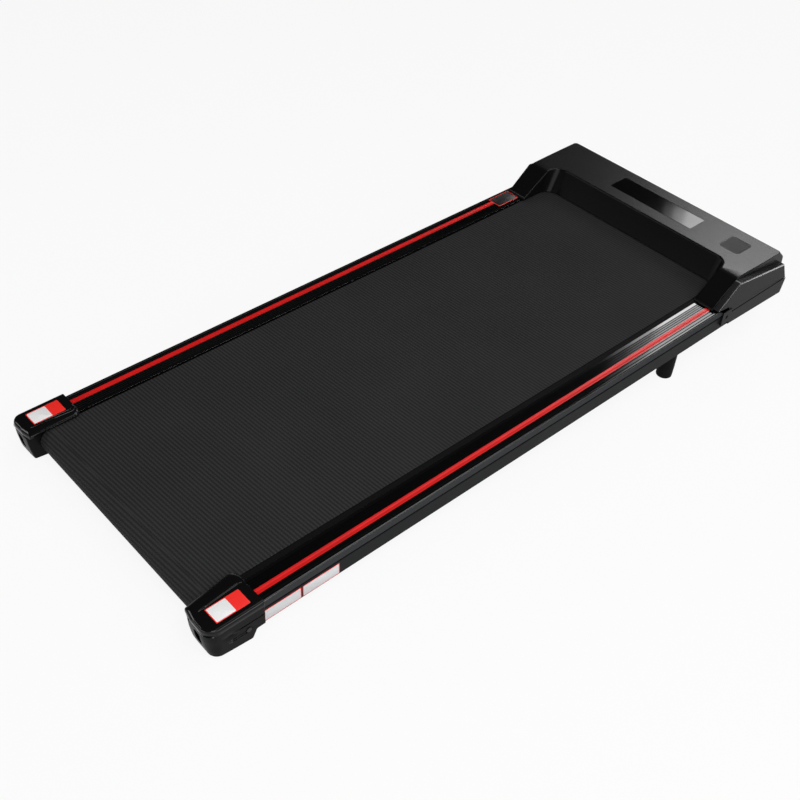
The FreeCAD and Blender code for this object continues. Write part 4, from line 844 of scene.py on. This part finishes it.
cap_finish = gloss_cap()
white_film = print_film("white_film", (0.63, 0.63, 0.63), 0.35)
red_film = print_film("red_film", (0.70, 0.02, 0.015), 0.35)
panel_z = 0.0052
patch_low, patch_high = (0.0252, 0.2165), (0.0765, 0.2440)
white_low, white_high = (0.0266, 0.2178), (0.0555, 0.2427)
upper_film = 0.00022
sole_line = rounded([(-0.010, -0.0462), (0.0085, -0.0466), (0.0390, -0.0502), (0.0700, -0.0530),
                     (0.0770, -0.0390), (0.1200, -0.0378), (0.1200, -0.0800), (-0.0100, -0.0800)],
                    [0, 0.01, 0.02, 0.003, 0.003, 0, 0, 0])
seat_x, seat_z, seat_radius = 0.0650, -0.0315, 0.0054
seat_turn = np.linspace(0, 2 * np.pi, 32, endpoint=False)
screw_seat = np.column_stack([seat_x + seat_radius * np.cos(seat_turn),
                              seat_z + seat_radius * np.sin(seat_turn)])
sole_y, seat_y = np.array((0.17, 0.27)), np.array((0.2526, 0.26))
inside = np.array([(0.0087, 0.2085), (0.0750, 0.2085), (0.0750, 0.2500), (0.0087, 0.2500)])
inside_round, inside_levels = [0.003, 0.003, 0.003, 0.022], [(-0.0360, 0), (0.0005, 0)]
slot_x, slot_y, slot_z, slot_round = (-0.005, 0.0140), (0.2200, 0.2340), (-0.0345, -0.0100), 0.005
axle_x, axle_y, axle_z, axle_round = (0.0375, 0.0600), (0.2040, 0.2445), (-0.0295, -0.0163), 0.004
for side_name, side in (("left", 1), ("right", -1)):
    cap = cap_moulding(side_name + "_cap_moulding", side)
    hollow = rounded(inside * (1, side), inside_round)
    pocket(cap, cross_cut("sole_cut", sole_line, side * sole_y))
    pocket(cap, slab("hollow_cut", hollow, inside_levels))
    pocket(cap, block_cut("slot_cut", slot_x, sorted(side * y for y in slot_y), slot_z, slot_round))
    pocket(cap, cross_cut("screw_cut", screw_seat, side * seat_y))
    pocket(cap, block_cut("axle_cut", axle_x, sorted(side * y for y in axle_y), axle_z, axle_round))
    fit(cap, cap_finish, "frame", "cap_gloss", side_name + "_rear_cap")
    lay = on_panel(side)
    fit(blank_patch(side_name + "_red_patch", patch_low, patch_high, lay), red_film, "frame", "stripe_red")
    fit(blank_patch(side_name + "_white_patch", white_low, white_high, lay, upper_film), white_film,
        "frame", "cap_gloss")

# Blank label plates: two pale plates with a red rim on the right side member, and a dark one with a red rim
# on the left rail by the hood. They stand where the pad has printed labels, and carry nothing.

grey_film = print_film("grey_film", (0.50, 0.50, 0.51), 0.4)
dark_film = print_film("dark_film", (0.006, 0.006, 0.006), 0.4)
rim = 0.0012
member_face, rail_clear = -0.2490, 0.0001


def on_member(u, v, h):
    """Lays a plate on the right side member's outer face."""
    return np.stack([u, member_face - h, v], -1)


def on_left_rail(u, v, h):
    """Lays a plate on the left rail's top."""
    return np.stack([u, v, rail_clear + h], -1)


def rimmed_plate(name, low, high, lay, film, slot):
    """A plain plate over a slightly larger red one, which shows as its rim."""
    fit(blank_patch(name + "_rim", low, high, lay), red_film, "frame", "stripe_red")
    low, high = np.array(low) + rim, np.array(high) - rim
    fit(blank_patch(name, low, high, lay, upper_film), film, "frame", slot)


rimmed_plate("first_plate", (0.0920, -0.0414), (0.1514, -0.0205), on_member, grey_film, "cap_gloss")
rimmed_plate("second_plate", (0.1540, -0.0414), (0.2156, -0.0205), on_member, grey_film, "cap_gloss")
rimmed_plate("rail_plate", (0.9795, 0.2143), (1.0305, 0.2433), on_left_rail, dark_film, "rail_black")

# Feet and wheels: two round rubber feet under the side members lift the front, thin pads sit under the caps,
# and two small moulded wheels under the hood let the pad be rolled when it is tipped up.


def turned(name, centre, axis, profile):
    """A (radius, height) profile turned about an axis through a point: centre + r (cos, sin) + h axis."""
    axis = np.asarray(axis, float)
    steps, any_other = 48, (0.3, 0.5, 0.8)
    first = np.cross(axis, any_other)
    first /= np.linalg.norm(first)
    second = np.cross(axis, first)
    radius, height = np.asarray(profile, float).T
    angle = np.linspace(0, 2 * np.pi, steps, endpoint=False)
    around = np.cos(angle)[:, None] * first + np.sin(angle)[:, None] * second
    points = np.asarray(centre) + radius[:, None, None] * around + height[:, None, None] * axis
    return surface(name, (points - deck_origin) @ deck_axes.T, False, True, ends=True, sharp=40.0)


upright_axis = (0.0, 0.0, 1.0)
foot_profile = rounded([(0.006, 0), (0.0135, 0), (0.0140, 0.020), (0.0140, 0.0475), (0.006, 0.0475)],
                       [0, 0.0025, 0.01, 0.001, 0], 6, closed=False)
pad_profile = rounded([(0.004, 0), (0.0120, 0), (0.0120, 0.0058), (0.004, 0.0058)], [0, 0.0006, 0.0006, 0], 4,
                      closed=False)
mounts = {mount["name"]: mount["pos_m"] for mount in frame["record"]["mounts"]}
for side_name in ("left", "right"):
    foot = turned(side_name + "_round_foot", mounts[side_name + "_foot_base"], upright_axis, foot_profile)
    pad = turned(side_name + "_sole_pad", mounts[side_name + "_pad_base"], upright_axis, pad_profile)
    fit(foot, rubber, "frame", "soft_rubber", *(["front_feet"] if side_name == "left" else []))
    fit(pad, rubber, "frame", "soft_rubber", *(["rear_pads"] if side_name == "left" else []))
dress(moulded_black, "left_transport_wheel", "right_transport_wheel")

# Floor and backdrop: one pale sweep, turned about the pad's middle, that stays white to the eye and still
# takes the pad's soft shadow.


def sweep_surface():
    """A flat disc that curves up into a low wall: radius and height follow a quarter circle at the rim."""
    reach, bend, rings = 6.5, 1.35, 12
    bow = np.linspace(0, np.pi / 2, 16)
    radius = np.concatenate([np.linspace(0.001, reach - bend, rings), reach - bend + bend * np.sin(bow)])
    height = np.concatenate([np.zeros(rings), bend - bend * np.cos(bow)])
    angle = np.linspace(0, 2 * np.pi, 64, endpoint=False)
    points = np.stack(np.broadcast_arrays(radius[:, None] * np.cos(angle), radius[:, None] * np.sin(angle),
                                          height[:, None]), -1)
    return surface("floor_sweep", (points - deck_origin) @ deck_axes.T, False, True, sharp=60.0)


def pale_sweep():
    """White paper that is nearly even white to the eye and in mirrors, with a share of real shading."""
    material, at = finish("white_sweep", (0.52, 0.52, 0.52), 0.9)
    tree = material.node_tree
    paths = at.node("LightPath", {}, {}).socket.node.outputs
    seen = Tone(paths["Is Camera Ray"]) + Tone(paths["Is Glossy Ray"]) + Tone(paths["Is Transmission Ray"])
    white = at.node("Emission", {}, {"Color": (1, 1, 1, 1), "Strength": 1.0})
    shaded = Tone(tree.nodes["Principled BSDF"].outputs[0])
    mixed = at.node("MixShader", {}, {0: seen.math("MINIMUM", seen, 1.0) * 0.9, 1: shaded, 2: white})
    tree.links.new(mixed.socket, tree.nodes["Material Output"].inputs["Surface"])
    return material


floor = sweep_surface()
floor.data.materials.append(pale_sweep())

# Light and camera: two soft panels above, low panels and a card round the rear, a strip and two cards along
# the right side for its edges, and a softbox with soft borders beyond the hood, which rail and lens mirror.


def panel_light(name, position, target, size, power):
    """A rectangular panel that faces its target and isn't seen itself."""
    light = bpy.data.lights.new(name, "AREA")
    light.shape = "RECTANGLE"
    light.size, light.size_y = size
    light.energy = power
    lamp = bpy.data.objects.new(name, light)
    back = np.array(position, float) - np.array(target, float)
    back /= np.linalg.norm(back)
    side = np.cross((0.0, 0.0, 1.0), back) if abs(back[2]) < 0.99 else np.array((1.0, 0.0, 0.0))
    side /= np.linalg.norm(side)
    turn = Matrix(np.column_stack([side, np.cross(back, side), back]).tolist()).to_4x4()
    lamp.matrix_world = Matrix.Translation(position) @ turn
    lamp.visible_camera = False
    bpy.context.scene.collection.objects.link(lamp)


def softbox_part(name, turn, lift, radiance):
    """A panel five metres from the hood that spans those angles from +X and up from the floor, in degrees."""
    hood_point, reach = np.array((0.45, -0.1, 0.1)), 5.05
    a, e = math.radians(sum(turn) / 2), math.radians(sum(lift) / 2)
    width = 2 * reach * math.cos(e) * math.tan(math.radians(turn[1] - turn[0]) / 2)
    height = 2 * reach * math.tan(math.radians(lift[1] - lift[0]) / 2)
    towards = np.array((math.cos(e) * math.cos(a), math.cos(e) * math.sin(a), math.sin(e)))
    power = math.pi * width * height * radiance
    panel_light(name, hood_point + reach * towards, hood_point, (width, height), power)


panel_light("overhead_panel", (0.9, -0.5, 2.7), (0, 0, 0), (1.4, 1.4), 24.0)
panel_light("rear_panel", (-0.8, -1.5, 2.4), (-0.2, 0, 0), (1.4, 1.2), 54.0)
panel_light("rear_left_panel", (-1.7, 1.5, 1.5), (-0.5, 0, 0), (1.0, 0.5), 12.0)
panel_light("low_panel", (-1.25, -1.9, 0.6), (0.4, 0.1, 0.05), (1.6, 1.0), 14.0)
panel_light("rear_card", (-2.2, 0.2, 0.25), (-0.6, 0, 0.03), (1.4, 0.4), 8.0)
panel_light("side_strip", (2.0, -2.5, 1.62), (2.0, -0.25, 0.3), (3.4, 0.55), 38.0)
panel_light("slope_card", (0.05, -2.5, 0.92), (0.43, -0.25, 0.12), (0.6, 0.5), 8.0)
panel_light("front_card", (3.7, -1.8, 0.75), (0.53, -0.25, 0.13), (0.6, 0.5), 8.0)
softbox_part("softbox", (14.0, 32.2), (34.4, 50.0), 7.0)
softbox_part("softbox_border", (32.2, 33.8), (34.4, 50.0), 2.4)
softbox_part("softbox_edge", (33.8, 35.3), (34.4, 50.0), 0.7)
softbox_part("softbox_foot", (14.0, 31.5), (32.4, 34.4), 5.1)
softbox_part("softbox_foot_border", (31.5, 32.4), (32.4, 34.4), 2.6)
softbox_part("softbox_foot_edge", (32.4, 33.2), (32.4, 34.4), 0.8)

world = bpy.data.worlds.new("dim_studio")
bpy.context.scene.world = world
world.use_nodes = True
dim_grey = (0.02, 0.02, 0.02, 1)
world.node_tree.nodes["Background"].inputs["Color"].default_value = dim_grey

image_side = 800
focal_pixels = 1137.5
sensor = 36.0
camera_place = (-0.4014, -1.0062, 1.1546)
camera_right = np.array((0.7493, -0.6612, 0.0357))
camera_down = np.array((-0.4236, -0.5201, -0.7416))
camera_ahead = np.cross(camera_right, camera_down)
view = bpy.data.cameras.new("view")
view.sensor_width = sensor
view.lens = focal_pixels / image_side * sensor
camera = bpy.data.objects.new("view", view)
turn = np.stack([camera_right, -camera_down, -camera_ahead]) @ deck_axes
camera.matrix_world = Matrix.Translation(place(camera_place)) @ Matrix(turn.T.tolist()).to_4x4()
bpy.context.scene.collection.objects.link(camera)
bpy.context.scene.camera = camera
bpy.context.scene.view_settings.view_transform = "Standard"
